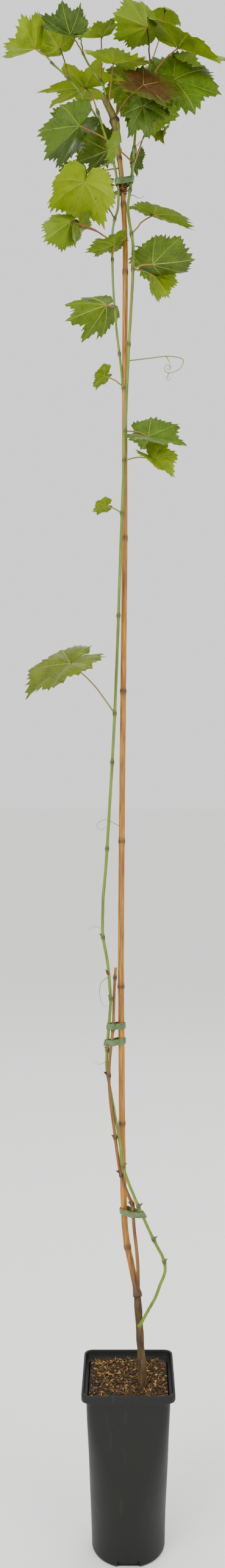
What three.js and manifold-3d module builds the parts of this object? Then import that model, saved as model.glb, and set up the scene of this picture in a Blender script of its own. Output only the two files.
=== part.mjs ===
// A young grapevine in a tall square-mouthed nursery pot, about two metres high.
// Millimetres, +Z up, +Y away from the front; the origin is the middle of the pot's flat underside.
import * as THREE from 'three';
import { ConvexGeometry } from 'three/addons/geometries/ConvexGeometry.js';
import { mergeVertices } from 'three/addons/utils/BufferGeometryUtils.js';
import Module from 'manifold-3d';

const wasm = await Module();
wasm.setup();

// Pot
const potHeight = 230;
const mouthHalf = 55; // half the width of the wall under the rim band
const rimHalf = 61;
const rimBand = 10;
const baseRadius = 48.5;
const baseRound = 4;
const wall = 2;
const floorThick = 2.5;
const mouthCorner = 10; // corner radius at the mouth; the foot is a plain circle
const squareFrom = 20; // height at which the round foot starts to turn square
const notch = { wide: 28, deep: 7, high: 6.5 };
const potSegments = 24;
const wallStations = [60, 110, 160, 212]; // heights at which the wall is shaped

// Compost
const soilLevel = 219;
const soilUneven = 2;
const clearance = 0.3; // gap kept between touching pieces
const sideRoom = 2; // gap between the compost and the wall

// Blades
const bladeHalf = 1.3; // half the thickness of a blade pad at its middle
const midRing = 0.55; // how far out the inner ring of a pad lies
const stalkRadius = 1.2;
const knobRadius = 2.6;
const sliver = 0.12; // finest detail kept where blade and stalk meet
const knobOut = 3; // distance of a stalk's foot from the axis of its stem

const lobeAngles = [24, 48, 74, 100, 140]; // degrees from the tip, the same on both sides
const group = new THREE.Group();

function material(color, roughness) {
  return new THREE.MeshStandardMaterial({ color, roughness, metalness: 0 });
}

const finishes = {
  pot: material('#2b2d28', 0.5),
  soil: material('#4a3620', 0.95),
  bark: material('#5a4226', 0.85),
  cane: material('#b0702a', 0.6),
  shoot: material('#8fae25', 0.5),
  tie: material('#5f7d55', 0.45),
  pale: material('#97b321', 0.55),
  green: material('#6a8f22', 0.5),
  dark: material('#3f6b26', 0.45),
  bronze: material('#5a4420', 0.55),
};

// A closed three.js geometry as a solid that can be joined and cut.
function solidOf(geometry) {
  const bare = geometry.clone();
  bare.deleteAttribute('normal');
  bare.deleteAttribute('uv');
  const merged = mergeVertices(bare, 1e-4);
  return new wasm.Manifold(new wasm.Mesh({
    numProp: 3,
    vertProperties: merged.attributes.position.array,
    triVerts: new Uint32Array(merged.index.array),
  }));
}

function geometryOf(solid) {
  const mesh = solid.getMesh();
  const geometry = new THREE.BufferGeometry();
  geometry.setAttribute('position', new THREE.BufferAttribute(mesh.vertProperties, 3));
  geometry.setIndex(new THREE.BufferAttribute(mesh.triVerts, 1));
  geometry.computeVertexNormals();
  return geometry;
}

function addPart(name, geometry, finish) {
  const mesh = new THREE.Mesh(geometry, finishes[finish]);
  mesh.name = name;
  group.add(mesh);
}

// Moves every vertex of a geometry by a function of its position.
function reshape(geometry, change) {
  const position = geometry.attributes.position;
  const point = new THREE.Vector3();
  for (let i = 0; i < position.count; i += 1) {
    point.fromBufferAttribute(position, i);
    change(point);
    position.setXYZ(i, point.x, point.y, point.z);
  }
  return geometry;
}

// ---- pot and compost ----

// Reach of a rounded square in one direction, for its half width and corner radius.
function squareReach(angle, half, corner) {
  const quarter = Math.PI / 2;
  const turn = Math.abs(((angle % quarter) + quarter) % quarter);
  const near = Math.min(turn, quarter - turn);
  const middle = half - corner;
  if (half * Math.tan(near) <= middle) return half / Math.cos(near);
  const along = middle * (Math.cos(near) + Math.sin(near));
  return along + Math.sqrt(Math.max(0, along * along - 2 * middle * middle + corner * corner));
}

// Turns a round body square from the foot up to the mouth.
function squareUp(geometry) {
  return reshape(geometry, (point) => {
    const radius = Math.hypot(point.x, point.y);
    if (radius < 1e-6) return;
    const squareness = THREE.MathUtils.smoothstep(point.z, squareFrom, potHeight);
    const corner = radius + Math.min(0, mouthCorner - radius) * squareness;
    const reach = squareReach(Math.atan2(point.y, point.x), radius, corner);
    point.x *= reach / radius;
    point.y *= reach / radius;
  });
}

// Spins a list of [radius, height] round the Z axis; a profile either closes or meets the axis.
function spun(profile) {
  const points = profile.map(([radius, height]) => new THREE.Vector2(radius, height));
  return new THREE.LatheGeometry(points, potSegments).rotateX(Math.PI / 2);
}

function wallHalf(height) {
  const share = (height - baseRound) / (potHeight - baseRound);
  return baseRadius + (mouthHalf - baseRadius) * share;
}

function makePot() {
  const underBand = potHeight - rimBand;
  const profile = [
    [0, 0],
    [baseRadius - baseRound, 0],
    [baseRadius - 1, 1.2],
    [baseRadius, baseRound],
    ...wallStations.map((height) => [wallHalf(height), height]),
    [wallHalf(underBand), underBand],
    [rimHalf - 1.5, underBand],
    [rimHalf, underBand + 2],
    [rimHalf, potHeight - 2],
    [rimHalf - 2, potHeight],
    [rimHalf - wall - 1, potHeight],
    [rimHalf - wall - 1.5, underBand + 1],
    [mouthHalf - wall + 0.5, underBand - 1],
    ...wallStations.toReversed().map((height) => [wallHalf(height) - wall, height]),
    [baseRadius - wall, baseRound + 2],
    [baseRadius - wall - 2, floorThick],
    [0, floorThick],
  ];
  let pot = solidOf(squareUp(spun(profile)));
  for (const turn of [0, Math.PI]) {
    const cutter = new THREE.BoxGeometry(notch.wide, notch.deep * 2, notch.high * 2);
    cutter.translate(0, baseRadius, 0).rotateZ(turn);
    pot = pot.subtract(solidOf(cutter));
  }
  addPart('pot', geometryOf(pot), 'pot');
}

const trunkFoot = [20, -10, soilLevel + clearance];

// Height of the compost: a low mound round the trunk with loose bark lying unevenly on it.
function soilHeight(x, y) {
  const fromTrunk = Math.hypot(x - trunkFoot[0], y - trunkFoot[1]);
  const loose = Math.min(1, fromTrunk / 20) * soilUneven;
  const waves = Math.sin(x * 0.19 + 1) * Math.cos(y * 0.16) + 0.6 * Math.sin(y * 0.31 + x * 0.11);
  return soilLevel - 0.01 * fromTrunk + loose * (waves - 1) * 0.5;
}

function makeSoil() {
  const inset = wall + sideRoom;
  const soilBottom = floorThick + clearance;
  const profile = [
    [0, soilBottom],
    [baseRadius - inset - 2, soilBottom],
    [baseRadius - inset, soilBottom + 4],
    ...wallStations.map((height) => [wallHalf(height) - inset, height]),
    [36, soilLevel],
    [17, soilLevel],
    [0, soilLevel],
  ];
  const soil = squareUp(spun(profile));
  reshape(soil, (point) => {
    if (point.z > soilLevel - 4) point.z += soilHeight(point.x, point.y) - soilLevel;
  });
  addPart('soil', soil, 'soil');
}

// ---- stems ----

// A round limb along a smooth line, its radius a function of how far up it one is.
function limbGeometry(line, radiusAt, sides, steps) {
  const curve = new THREE.CatmullRomCurve3(line.map((p) => new THREE.Vector3(...p)), false, 'centripetal');
  const frames = curve.computeFrenetFrames(steps, false);
  const limb = new THREE.CylinderGeometry(1, 1, 1, sides, steps);
  return reshape(limb, (point) => {
    const station = Math.round((point.y + 0.5) * steps);
    const share = station / steps;
    const radius = radiusAt(share);
    const across = frames.normals[station].clone().multiplyScalar(point.x * radius);
    const aside = frames.binormals[station].clone().multiplyScalar(-point.z * radius);
    point.copy(curve.getPointAt(share)).add(across).add(aside);
  });
}

const limbs = [
  {
    name: 'trunk', finish: 'bark', sides: 8, steps: 5, foot: 5.2, tip: 4.6, flare: 1.4,
    line: [trunkFoot, [18, -9, 246], [16, -6, 279], [13, -3, 316], [12, 0, 337]],
  },
  {
    name: 'main_cane', finish: 'cane', sides: 6, steps: 20, foot: 4.4, tip: 3.2, joins: ['trunk'],
    line: [[12, 0, 335], [4, 4, 366], [-3, 7, 393], [-5, 8, 433], [-8, 8, 515], [-9, 6, 638], [-10, 4, 761],
      [-9, 2, 925], [-7, 2, 1128], [-5, 2, 1332], [-5, 1, 1536], [-4, 0, 1731], [-5, 0, 1796],
      [-8, 0, 1820], [-9, 0, 1851], [-14, 0, 1883], [-17, 0, 1895]],
  },
  {
    name: 'pruned_stub', finish: 'bark', sides: 8, steps: 5,
    foot: 4.6, tip: 4.2, swell: 1.2, joins: ['main_cane'],
    line: [[-17, 0, 1895.5], [-18, 0, 1902], [-22, -1, 1911], [-32, -3, 1931]],
  },
  {
    name: 'ripe_shoot', finish: 'cane', sides: 5, steps: 16,
    foot: 2.1, tip: 1.5, joins: ['trunk', 'main_cane'],
    line: [[13, -4, 350], [12, -8, 389], [10, -9, 405], [6, -9, 440], [5, -9, 462], [-2, -9, 473],
      [-11, -9, 501], [-18, -8, 551], [-25, -8, 605], [-26, -7, 634], [-23, -6, 667], [-20, -5, 693],
      [-19, -4, 735], [-17, -3, 771]],
  },
  {
    name: 'green_shoot', finish: 'shoot', sides: 5, steps: 34,
    foot: 1.8, tip: 1.8, joins: ['trunk', 'ripe_shoot'],
    line: [[15, -9, 296], [28, -16, 322], [43, -18, 353], [52, -18, 386], [49, -18, 393], [29, -17, 422],
      [11, -15, 462], [0, -14, 490], [-9, -12, 513], [-14, -6, 564], [-24, 0, 601], [-27, 0, 611],
      [-29, 0, 632], [-30, -2, 662], [-25, -5, 693], [-23, -10, 732], [-26, -8, 770], [-34, -6, 813],
      [-35, -6, 839], [-30, -6, 901], [-25, -6, 982], [-19, -6, 1087], [-14, -7, 1209], [-10, -8, 1330],
      [-5, -9, 1459], [0, -9, 1581], [5, -9, 1670], [7, -8, 1729], [2, -8, 1758], [-1, -8, 1780],
      [1, -8, 1802], [5, -7, 1825]],
  },
  {
    name: 'right_shoot', finish: 'shoot', sides: 5, steps: 8, foot: 2.1, tip: 1.4, joins: ['green_shoot'],
    line: [[5, -7, 1825.5], [6, -7, 1840], [8, -7, 1864], [9, -6, 1877], [11, -5, 1899], [20, -4, 1927],
      [22, -4, 1937], [28, -6, 1966], [30, -6, 1980]],
  },
  {
    name: 'left_shoot', finish: 'shoot', sides: 5, steps: 14, foot: 1.6, tip: 1.7, joins: ['main_cane'],
    line: [[-6, 0, 1543], [-12, -3, 1591], [-18, -5, 1647], [-21, -6, 1703], [-21, -6, 1734], [-21, -6, 1757],
      [-14, -6, 1776], [-13, -6, 1808], [-16, -5, 1830], [-25, -4, 1863], [-34, -4, 1891], [-42, -4, 1916]],
  },
  {
    name: 'top_left_shoot', finish: 'shoot', sides: 5, steps: 7, foot: 2, tip: 1.3, joins: ['pruned_stub'],
    line: [[-19, 0, 1911], [-29, 4, 1938], [-36, 0, 1956], [-46, 1, 1967], [-60, -2, 1990], [-62, -2, 1995]],
  },
  {
    name: 'far_left_shoot', finish: 'shoot', sides: 5, steps: 7, foot: 1.6, tip: 1.2, joins: ['left_shoot'],
    line: [[-28, -3, 1872], [-41, 6, 1908], [-55, 4, 1930], [-77, -6, 1953], [-105, -18, 1972]],
  },
];

function limbRadius(limb, extra) {
  return (share) => {
    const taper = limb.foot + (limb.tip - limb.foot) * share;
    const flare = (limb.flare ?? 0) * Math.exp(-share * 9);
    const swell = (limb.swell ?? 0) * Math.exp(-(((share - 0.35) / 0.2) ** 2));
    return taper + flare + swell + extra;
  };
}

function limbSolid(limb, extra) {
  return solidOf(limbGeometry(limb.line, limbRadius(limb, extra), limb.sides, limb.steps));
}

// The largest body left when a cut leaves several.
function mainBody(solid) {
  const bodies = solid.decompose();
  return bodies.reduce((best, body) => (body.volume() > best.volume() ? body : best));
}

const limbRoom = new Map(limbs.map((limb) => [limb.name, limbSolid(limb, clearance)]));

function makeLimbs() {
  for (const limb of limbs) {
    let body = limbSolid(limb, 0);
    for (const other of limb.joins ?? []) body = body.subtract(limbRoom.get(other));
    addPart(limb.name, geometryOf(mainBody(body)), limb.finish);
  }
}

// ---- ties: bands of soft tape round the stems ----

const tapeThick = 1;
const tapeRoom = 1.1; // gap between the tape and the stems it holds
const ties = [
  { name: 'tie_top', height: 1819, high: 9, lean: 6, holds: ['main_cane', 'green_shoot', 'left_shoot'] },
  { name: 'tie_upper', height: 692, high: 8, lean: -3, holds: ['main_cane', 'ripe_shoot', 'green_shoot'] },
  { name: 'tie_middle', height: 672, high: 8, lean: 2, holds: ['main_cane', 'ripe_shoot', 'green_shoot'] },
  { name: 'tie_lower', height: 444, high: 8, lean: 8, holds: ['main_cane', 'ripe_shoot', 'green_shoot'] },
];

// Where a limb crosses a height, and how thick it is there.
function crossing(limb, height) {
  const stations = limb.line.map((p) => new THREE.Vector3(...p));
  const curve = new THREE.CatmullRomCurve3(stations, false, 'centripetal');
  const points = curve.getSpacedPoints(400);
  const near = points.map((point) => Math.abs(point.z - height));
  const best = near.indexOf(Math.min(...near));
  return { centre: points[best], radius: limbRadius(limb, 0)(best / 400) };
}

// The tightest convex band that takes in the held limbs, grown by a given amount.
function bandHull(tie, grow, reach) {
  const slope = Math.tan(THREE.MathUtils.degToRad(tie.lean));
  const points = [];
  for (const limb of limbs.filter((candidate) => tie.holds.includes(candidate.name))) {
    for (const level of [-reach, reach]) {
      const { centre, radius } = crossing(limb, tie.height + level);
      for (let step = 0; step < 8; step += 1) {
        const turn = (step * Math.PI) / 4;
        const x = centre.x + Math.cos(turn) * (radius + grow);
        const y = centre.y + Math.sin(turn) * (radius + grow);
        points.push(new THREE.Vector3(x, y, tie.height + level + x * slope));
      }
    }
  }
  return solidOf(new ConvexGeometry(points));
}

function makeTies() {
  for (const tie of ties) {
    const outside = bandHull(tie, tapeRoom + tapeThick, tie.high / 2);
    addPart(tie.name, geometryOf(outside.subtract(bandHull(tie, tapeRoom, tie.high))), 'tie');
  }
}

// ---- foliage: each mass is one to three blades on stalks from one node of a stem ----

// How far the outline of a blade reaches at each of the lobe angles, as a share of its midrib.
function bladeReach(angle, lobing) {
  const reaches = [0.8 - lobing, 0.86, 0.7 - lobing, 0.68, 0.56];
  if (angle === 0) return 1;
  if (angle === 180) return 0.1;
  return reaches[lobeAngles.indexOf(angle)];
}

const rimAngles = [0, ...lobeAngles, 180, ...lobeAngles.slice().reverse().map((angle) => -angle)];

// Puts a point of the flat blade (midrib length 1) on the folded, curled and drooping one.
function bendBlade(point, blade) {
  const fold = THREE.MathUtils.degToRad(blade.fold);
  const curl = THREE.MathUtils.degToRad(blade.curl || 0.1);
  const bend = THREE.MathUtils.degToRad(blade.bend || 0.1);
  const side = Math.abs(point.y);
  const out = (Math.sin(fold) - Math.sin(fold - curl * side)) / curl;
  const lift = (Math.cos(fold - curl * side) - Math.cos(fold)) / curl + point.z;
  const along = Math.sin(bend * point.x) * (1 / bend + lift);
  const drop = Math.cos(bend * point.x) * (1 / bend + lift) - 1 / bend;
  const chord = (2 * Math.sin(bend / 2)) / bend;
  const turned = new THREE.Vector2(along, drop).rotateAround(new THREE.Vector2(), bend / 2);
  point.set(turned.x / chord, (Math.sign(point.y) * out) / chord, turned.y / chord);
}

// The blade's own axes: midrib, left side and upper face, rolled about the midrib.
function bladeFrame(from, tip, roll) {
  const midrib = tip.clone().sub(from).normalize();
  const face = new THREE.Vector3(0, 0, 1).addScaledVector(midrib, -midrib.z).normalize();
  face.applyAxisAngle(midrib, THREE.MathUtils.degToRad(-roll));
  return { midrib, face, side: face.clone().cross(midrib) };
}

function bladeSolid(blade) {
  const from = new THREE.Vector3(...blade.at);
  const tip = new THREE.Vector3(...blade.tip);
  const length = from.distanceTo(tip);
  const { midrib, face, side } = bladeFrame(from, tip, blade.roll);
  const pad = new THREE.SphereGeometry(1, rimAngles.length, 4);
  reshape(pad, (point) => {
    const out = Math.hypot(point.x, point.z);
    const ring = out < 0.01 ? 0 : out < 0.9 ? midRing : 1;
    const turn = Math.round((Math.atan2(-point.z, point.x) / (2 * Math.PI)) * rimAngles.length);
    const angle = rimAngles[(turn + rimAngles.length) % rimAngles.length];
    const reach = ring * bladeReach(Math.abs(angle), blade.lobing);
    const around = THREE.MathUtils.degToRad(angle);
    const height = (point.y * bladeHalf) / length;
    point.set(reach * Math.cos(around), reach * Math.sin(around) * blade.wide, ring === 1 ? 0 : height);
    bendBlade(point, blade);
    const { x, y, z } = point.clone().multiplyScalar(length);
    point.copy(from).addScaledVector(midrib, x).addScaledVector(side, y).addScaledVector(face, z);
  });
  return solidOf(pad);
}

// A stalk from the foot to the blade, rising first and then reaching out, or passing a given point.
function stalkSolid(start, end, via) {
  const middle = via ? new THREE.Vector3(...via) : start.clone().lerp(end, 0.5);
  if (!via) middle.z += start.distanceTo(end) * 0.08;
  const line = [start, middle, end].map((point) => point.toArray());
  return solidOf(limbGeometry(line, () => stalkRadius, 4, 2));
}

function massSolid(mass) {
  const foot = new THREE.Vector3(...mass.foot);
  const centre = new THREE.Vector3();
  for (const blade of mass.blades) centre.add(new THREE.Vector3(...blade.at));
  centre.divideScalar(mass.blades.length);
  const start = foot.clone().addScaledVector(centre.clone().sub(foot).normalize(), knobOut);
  const knob = new THREE.OctahedronGeometry(knobRadius, 0).translate(...start.toArray());
  let body = solidOf(knob);
  for (const blade of mass.blades) {
    body = body.add(stalkSolid(start, new THREE.Vector3(...blade.at), blade.via));
    body = body.add(bladeSolid(blade));
  }
  for (const room of limbRoom.values()) body = body.subtract(room);
  return mainBody(body.simplify(sliver));
}

// Blade sizes: at is where the stalk joins, tip the end of the midrib; angles are in degrees.
const masses = [
  {
    name: 'leaves_far_left', finish: 'pale', foot: [-105, -18, 1972],
    blades: [{
      at: [-124, -25, 1985], tip: [-162, -60, 1968],
      roll: -25, fold: 30, curl: -15, bend: -35, lobing: 0.1, wide: 0.95,
    }],
  },
  {
    name: 'leaves_top_left_back', finish: 'pale', foot: [-78, -6, 1954],
    blades: [{
      at: [-92, 6, 2006], tip: [-120, 0, 2046],
      roll: -75, fold: -10, curl: 60, bend: 60, lobing: 0.18, wide: 0.9,
    }],
  },
  {
    name: 'leaves_top_left_tip', finish: 'dark', foot: [-62, -2, 1995],
    blades: [
      {
        at: [-76, -20, 2006], tip: [-118, -17, 2036],
        roll: 80, fold: 35, curl: -20, bend: -35, lobing: 0.16, wide: 0.85,
      },
      {
        at: [-65, 9, 2023], tip: [-53, -9, 2030],
        roll: 15, fold: 40, curl: -20, bend: -30, lobing: 0.2, wide: 0.9,
      },
    ],
  },
  {
    name: 'leaves_top_inner', finish: 'pale', foot: [-36, 0, 1956],
    blades: [{
      at: [-35, -14, 2008], tip: [-66, -38, 1993],
      roll: 14, fold: 30, curl: -10, bend: -15, lobing: 0.15, wide: 0.9,
    }],
  },
  {
    name: 'leaves_top_middle', finish: 'green', foot: [30, -6, 1980],
    blades: [
      {
        at: [25, -50, 1994], tip: [-20, -87, 1988],
        roll: -58, fold: 35, curl: -25, bend: -25, lobing: 0.08, wide: 0.85,
      },
      {
        at: [51, 45, 2079], tip: [62, 75, 2066], via: [37, 32, 2016],
        roll: -10, fold: -8, curl: 55, bend: 55, lobing: 0.08, wide: 0.9,
      },
    ],
  },
  {
    name: 'leaves_top_right', finish: 'pale', foot: [25, -5, 1950],
    blades: [{
      at: [64, 0, 2001], tip: [121, -31, 1958],
      roll: -10, fold: 25, curl: 33, bend: 10, lobing: 0.04, wide: 1,
    }],
  },
  {
    name: 'leaves_upper_middle', finish: 'pale', foot: [-26, -2, 1919],
    blades: [{
      at: [-21, -16, 1967], tip: [19, -51, 1953],
      roll: -10, fold: 25, curl: 50, bend: -10, lobing: 0.08, wide: 1.05,
    }],
  },
  {
    name: 'leaves_right', finish: 'green', foot: [6, -7, 1838],
    blades: [{
      at: [60, 10, 1964], tip: [127, 13, 1945],
      roll: -65, fold: 15, curl: 50, bend: 5, lobing: 0.08, wide: 1.05,
    }],
  },
  {
    name: 'leaves_bronze', finish: 'bronze', foot: [-18, 0, 1906],
    blades: [
      {
        at: [16, -38, 1927], tip: [77, -33, 1911],
        roll: -53, fold: 8, curl: 10, bend: 2, lobing: 0.05, wide: 1.05,
      },
      {
        at: [8, 30, 1969], tip: [-24, 15, 1975],
        roll: 30, fold: -5, curl: 50, bend: 50, lobing: 0.06, wide: 1,
      },
    ],
  },
  {
    name: 'leaves_left_lobed', finish: 'pale', foot: [-41, -4, 1910],
    blades: [{
      at: [-57, 51, 1976], tip: [-118, 29, 1956],
      roll: -10, fold: 20, curl: 42, bend: 15, lobing: 0.18, wide: 0.9,
    }],
  },
  {
    name: 'leaves_lower_left', finish: 'dark', foot: [6, -7, 1843],
    blades: [{
      at: [-64, -25, 1882], tip: [-110, -40, 1832],
      roll: -50, fold: 40, curl: -25, bend: 5, lobing: 0.04, wide: 0.9,
    }],
  },
  {
    name: 'leaves_centre_left', finish: 'dark', foot: [-11, 0, 1857],
    blades: [{
      at: [-28, 15, 1873], tip: [-76, 10, 1853],
      roll: -40, fold: 30, curl: -5, bend: -25, lobing: 0.1, wide: 0.85,
    }],
  },
  {
    name: 'leaves_centre_front', finish: 'green', foot: [-14, 0, 1880],
    blades: [{
      at: [-8, -36, 1858], tip: [-21, -49, 1814],
      roll: -20, fold: 30, curl: -20, bend: -20, lobing: 0.1, wide: 0.85,
    }],
  },
  {
    name: 'leaves_centre_right', finish: 'dark', foot: [13, -5, 1903],
    blades: [
      {
        at: [19, -21, 1911], tip: [27, -36, 1857],
        roll: -50, fold: -2, curl: 30, bend: 15, lobing: 0.1, wide: 0.75,
      },
      {
        at: [13, 6, 1930], tip: [-2, 2, 1900],
        roll: -60, fold: 30, curl: -20, bend: -20, lobing: 0.08, wide: 0.9,
      },
      {
        at: [33, 12, 1930], tip: [55, 4, 1911],
        roll: -64, fold: -10, curl: 60, bend: 50, lobing: 0.1, wide: 0.85,
      },
    ],
  },
  {
    name: 'leaves_small_right', finish: 'dark', foot: [8, -7, 1862],
    blades: [{
      at: [12, 14, 1864], tip: [13, 24, 1843],
      roll: 60, fold: 10, curl: 40, bend: 30, lobing: 0.12, wide: 1,
    }],
  },
  {
    name: 'leaves_pale_left', finish: 'pale', foot: [-20, -5, 1846],
    blades: [{
      at: [-60, -38, 1803], tip: [-66, 20, 1775],
      roll: -12, fold: -10, curl: 60, bend: 5, lobing: 0.08, wide: 1.1,
    }],
  },
  {
    name: 'leaves_pale_inner', finish: 'green', foot: [-16, -6, 1768],
    blades: [{
      at: [-33, 16, 1799], tip: [-43, -18, 1790],
      roll: 0, fold: 35, curl: 0, bend: -10, lobing: 0.1, wide: 0.95,
    }],
  },
  {
    name: 'leaves_low_left', finish: 'green', foot: [-21, -6, 1738],
    blades: [
      {
        at: [-77, -15, 1761], tip: [-112, -28, 1728],
        roll: -88, fold: 40, curl: -15, bend: -35, lobing: 0.03, wide: 0.82,
      },
      {
        at: [-66, 0, 1762], tip: [-66, 29, 1760],
        roll: 56, fold: 10, curl: 60, bend: -18, lobing: 0.08, wide: 1,
      },
    ],
  },
  {
    name: 'leaves_under_left', finish: 'green', foot: [-21, -6, 1714],
    blades: [{
      at: [-17, -17, 1730], tip: [-56, -16, 1720],
      roll: 3, fold: 22, curl: 50, bend: -15, lobing: 0.03, wide: 0.9,
    }],
  },
  {
    name: 'leaves_mid_right', finish: 'green', foot: [4, -8, 1747],
    blades: [{
      at: [30, 5, 1781], tip: [85, 26, 1771],
      roll: -20, fold: 20, curl: 40, bend: 5, lobing: 0.05, wide: 0.85,
    }],
  },
  {
    name: 'leaves_low_right', finish: 'dark', foot: [6, -8, 1700],
    blades: [
      {
        at: [32, -20, 1704], tip: [86, -46, 1698],
        roll: 48, fold: 40, curl: -35, bend: -15, lobing: 0.05, wide: 0.88,
      },
      {
        at: [37, 15, 1703], tip: [54, 8, 1673],
        roll: 85, fold: 40, curl: -5, bend: -25, lobing: 0.05, wide: 1,
      },
    ],
  },
  {
    name: 'leaves_cane_upper', finish: 'green', foot: [-18, -5, 1650],
    blades: [{
      at: [-31, 0, 1655], tip: [-84, -30, 1621],
      roll: -92, fold: 42, curl: -35, bend: -25, lobing: 0.2, wide: 0.9,
    }],
  },
  {
    name: 'leaves_cane_small', finish: 'pale', foot: [-7, -1, 1546],
    blades: [{
      at: [-31, -6, 1560], tip: [-47, -14, 1543],
      roll: -40, fold: 20, curl: 20, bend: 10, lobing: 0.1, wide: 0.9,
    }],
  },
  {
    name: 'leaves_cane_right', finish: 'green', foot: [-4, -9, 1485],
    blades: [
      {
        at: [24, -12, 1479], tip: [72, -22, 1463],
        roll: -45, fold: 25, curl: 20, bend: 10, lobing: 0.08, wide: 0.85,
      },
      {
        at: [26, 22, 1486], tip: [44, 56, 1475],
        roll: 10, fold: 20, curl: 20, bend: 10, lobing: 0.08, wide: 0.9,
      },
    ],
  },
  {
    name: 'leaves_cane_middle', finish: 'pale', foot: [-5, -9, 1446],
    blades: [{
      at: [34, -10, 1450], tip: [62, -18, 1424],
      roll: -50, fold: 30, curl: -10, bend: 10, lobing: 0.1, wide: 0.9,
    }],
  },
  {
    name: 'leaves_cane_lower', finish: 'pale', foot: [-8, -8, 1376],
    blades: [{
      at: [-30, -10, 1386], tip: [-47, -14, 1378],
      roll: -40, fold: 20, curl: 20, bend: 10, lobing: 0.1, wide: 0.9,
    }],
  },
  {
    name: 'leaves_hanging', finish: 'pale', foot: [-17, -6, 1110],
    blades: [{
      at: [-77, -10, 1177], tip: [-134, -22, 1131],
      roll: 25, fold: 18, curl: 42, bend: 22, lobing: 0.04, wide: 0.85,
    }],
  },
  {
    name: 'leaves_back_right', finish: 'green', foot: [21, -4, 1930],
    blades: [{
      at: [65, 62, 2006], tip: [101, 102, 1996],
      roll: 0, fold: 20, curl: 30, bend: 15, lobing: 0.06, wide: 0.95,
    }],
  },
  {
    name: 'leaves_back_top', finish: 'pale', foot: [29, -6, 1970],
    blades: [{
      at: [8, 62, 1996], tip: [-8, 112, 1978],
      roll: 10, fold: 20, curl: 30, bend: 15, lobing: 0.1, wide: 0.95,
    }],
  },
  {
    name: 'leaves_back_left', finish: 'green', foot: [-55, 4, 1930],
    blades: [{
      at: [-74, 58, 1925], tip: [-98, 98, 1902],
      roll: -10, fold: 25, curl: 30, bend: 20, lobing: 0.08, wide: 0.9,
    }],
  },
  {
    name: 'leaves_back_centre', finish: 'green', foot: [18, -4, 1921],
    blades: [{
      at: [26, 64, 1966], tip: [38, 114, 1944],
      roll: 5, fold: 20, curl: 30, bend: 15, lobing: 0.06, wide: 1,
    }],
  },
  {
    name: 'leaves_back_low', finish: 'dark', foot: [-9, 0, 1840],
    blades: [{
      at: [-62, 58, 1850], tip: [-82, 100, 1822],
      roll: -10, fold: 25, curl: 30, bend: 15, lobing: 0.08, wide: 0.95,
    }],
  },
  {
    name: 'leaves_back_low_right', finish: 'green', foot: [7, -8, 1732],
    blades: [{
      at: [36, 52, 1742], tip: [58, 92, 1722],
      roll: 10, fold: 20, curl: 30, bend: 15, lobing: 0.06, wide: 0.95,
    }],
  },
];

function makeFoliage() {
  for (const mass of masses) addPart(mass.name, geometryOf(massSolid(mass)), mass.finish);
}

makePot();
makeSoil();
makeLimbs();
makeTies();
makeFoliage();

export default group;
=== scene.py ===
import math
import random
import bpy
import bmesh
from mathutils import Matrix, Vector, noise


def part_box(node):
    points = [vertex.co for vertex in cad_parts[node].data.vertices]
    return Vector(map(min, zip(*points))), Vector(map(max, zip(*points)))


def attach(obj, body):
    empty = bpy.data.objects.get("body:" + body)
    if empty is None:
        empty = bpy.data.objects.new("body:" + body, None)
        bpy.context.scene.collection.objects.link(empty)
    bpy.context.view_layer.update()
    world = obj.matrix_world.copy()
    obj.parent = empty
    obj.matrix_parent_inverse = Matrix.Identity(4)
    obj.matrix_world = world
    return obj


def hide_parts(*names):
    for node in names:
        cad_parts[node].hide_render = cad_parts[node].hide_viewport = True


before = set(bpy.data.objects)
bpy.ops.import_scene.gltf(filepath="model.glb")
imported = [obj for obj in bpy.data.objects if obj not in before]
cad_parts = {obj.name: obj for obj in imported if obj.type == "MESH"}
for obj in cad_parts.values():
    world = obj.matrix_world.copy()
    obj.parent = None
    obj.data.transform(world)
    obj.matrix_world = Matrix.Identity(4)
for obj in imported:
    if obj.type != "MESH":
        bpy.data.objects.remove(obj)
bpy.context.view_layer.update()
mm = 0.001
dice = random.Random(11)
scene = bpy.context.scene


def hexColour(text):
    # sRGB hex to the linear colour Blender wants
    parts = [int(text[i:i + 2], 16) / 255 for i in (1, 3, 5)]
    linear = [c / 12.92 if c <= 0.04045 else ((c + 0.055) / 1.055) ** 2.4 for c in parts]
    return (*linear, 1.0)


def smooth(share):
    share = min(1.0, max(0.0, share))
    return share * share * (3 - 2 * share)


view = {
    "place": (0.0, -1.5, 1.016),  # eye level with the middle of the plant
    "lens": 25.76,
    "sensor": 36.0,
    "shift": -0.0101,
}
camera = bpy.data.objects.new("camera", bpy.data.cameras.new("camera"))
camera.location = view["place"]
camera.rotation_euler = (math.radians(90), 0, 0)
camera.data.lens = view["lens"]
camera.data.sensor_width = view["sensor"]
camera.data.shift_x = view["shift"]
camera.data.clip_start = 0.05
scene.collection.objects.link(camera)
scene.camera = camera


def setNode(tree, node, settings=None, links=None):
    # settings by socket or property name, colour stops as (place, hex colour), and what feeds each socket
    for name, value in (settings or {}).items():
        if name == "stops":
            elements = node.color_ramp.elements
            for index, (place, colour) in enumerate(value):
                element = elements[index] if index < 2 else elements.new(place)
                element.position = place
                element.color = hexColour(colour)
        elif isinstance(name, int) or name in node.inputs:
            node.inputs[name].default_value = value
        else:
            setattr(node, name, value)
    for name, source in (links or {}).items():
        tree.links.new(source, node.inputs[name])
    return node


def addNode(tree, kind, settings=None, links=None):
    return setNode(tree, tree.nodes.new(kind), settings, links)


def newMaterial(name):
    material = bpy.data.materials.new(name)
    material.use_nodes = True
    tree = material.node_tree
    return material, tree, tree.nodes["Principled BSDF"]


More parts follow.
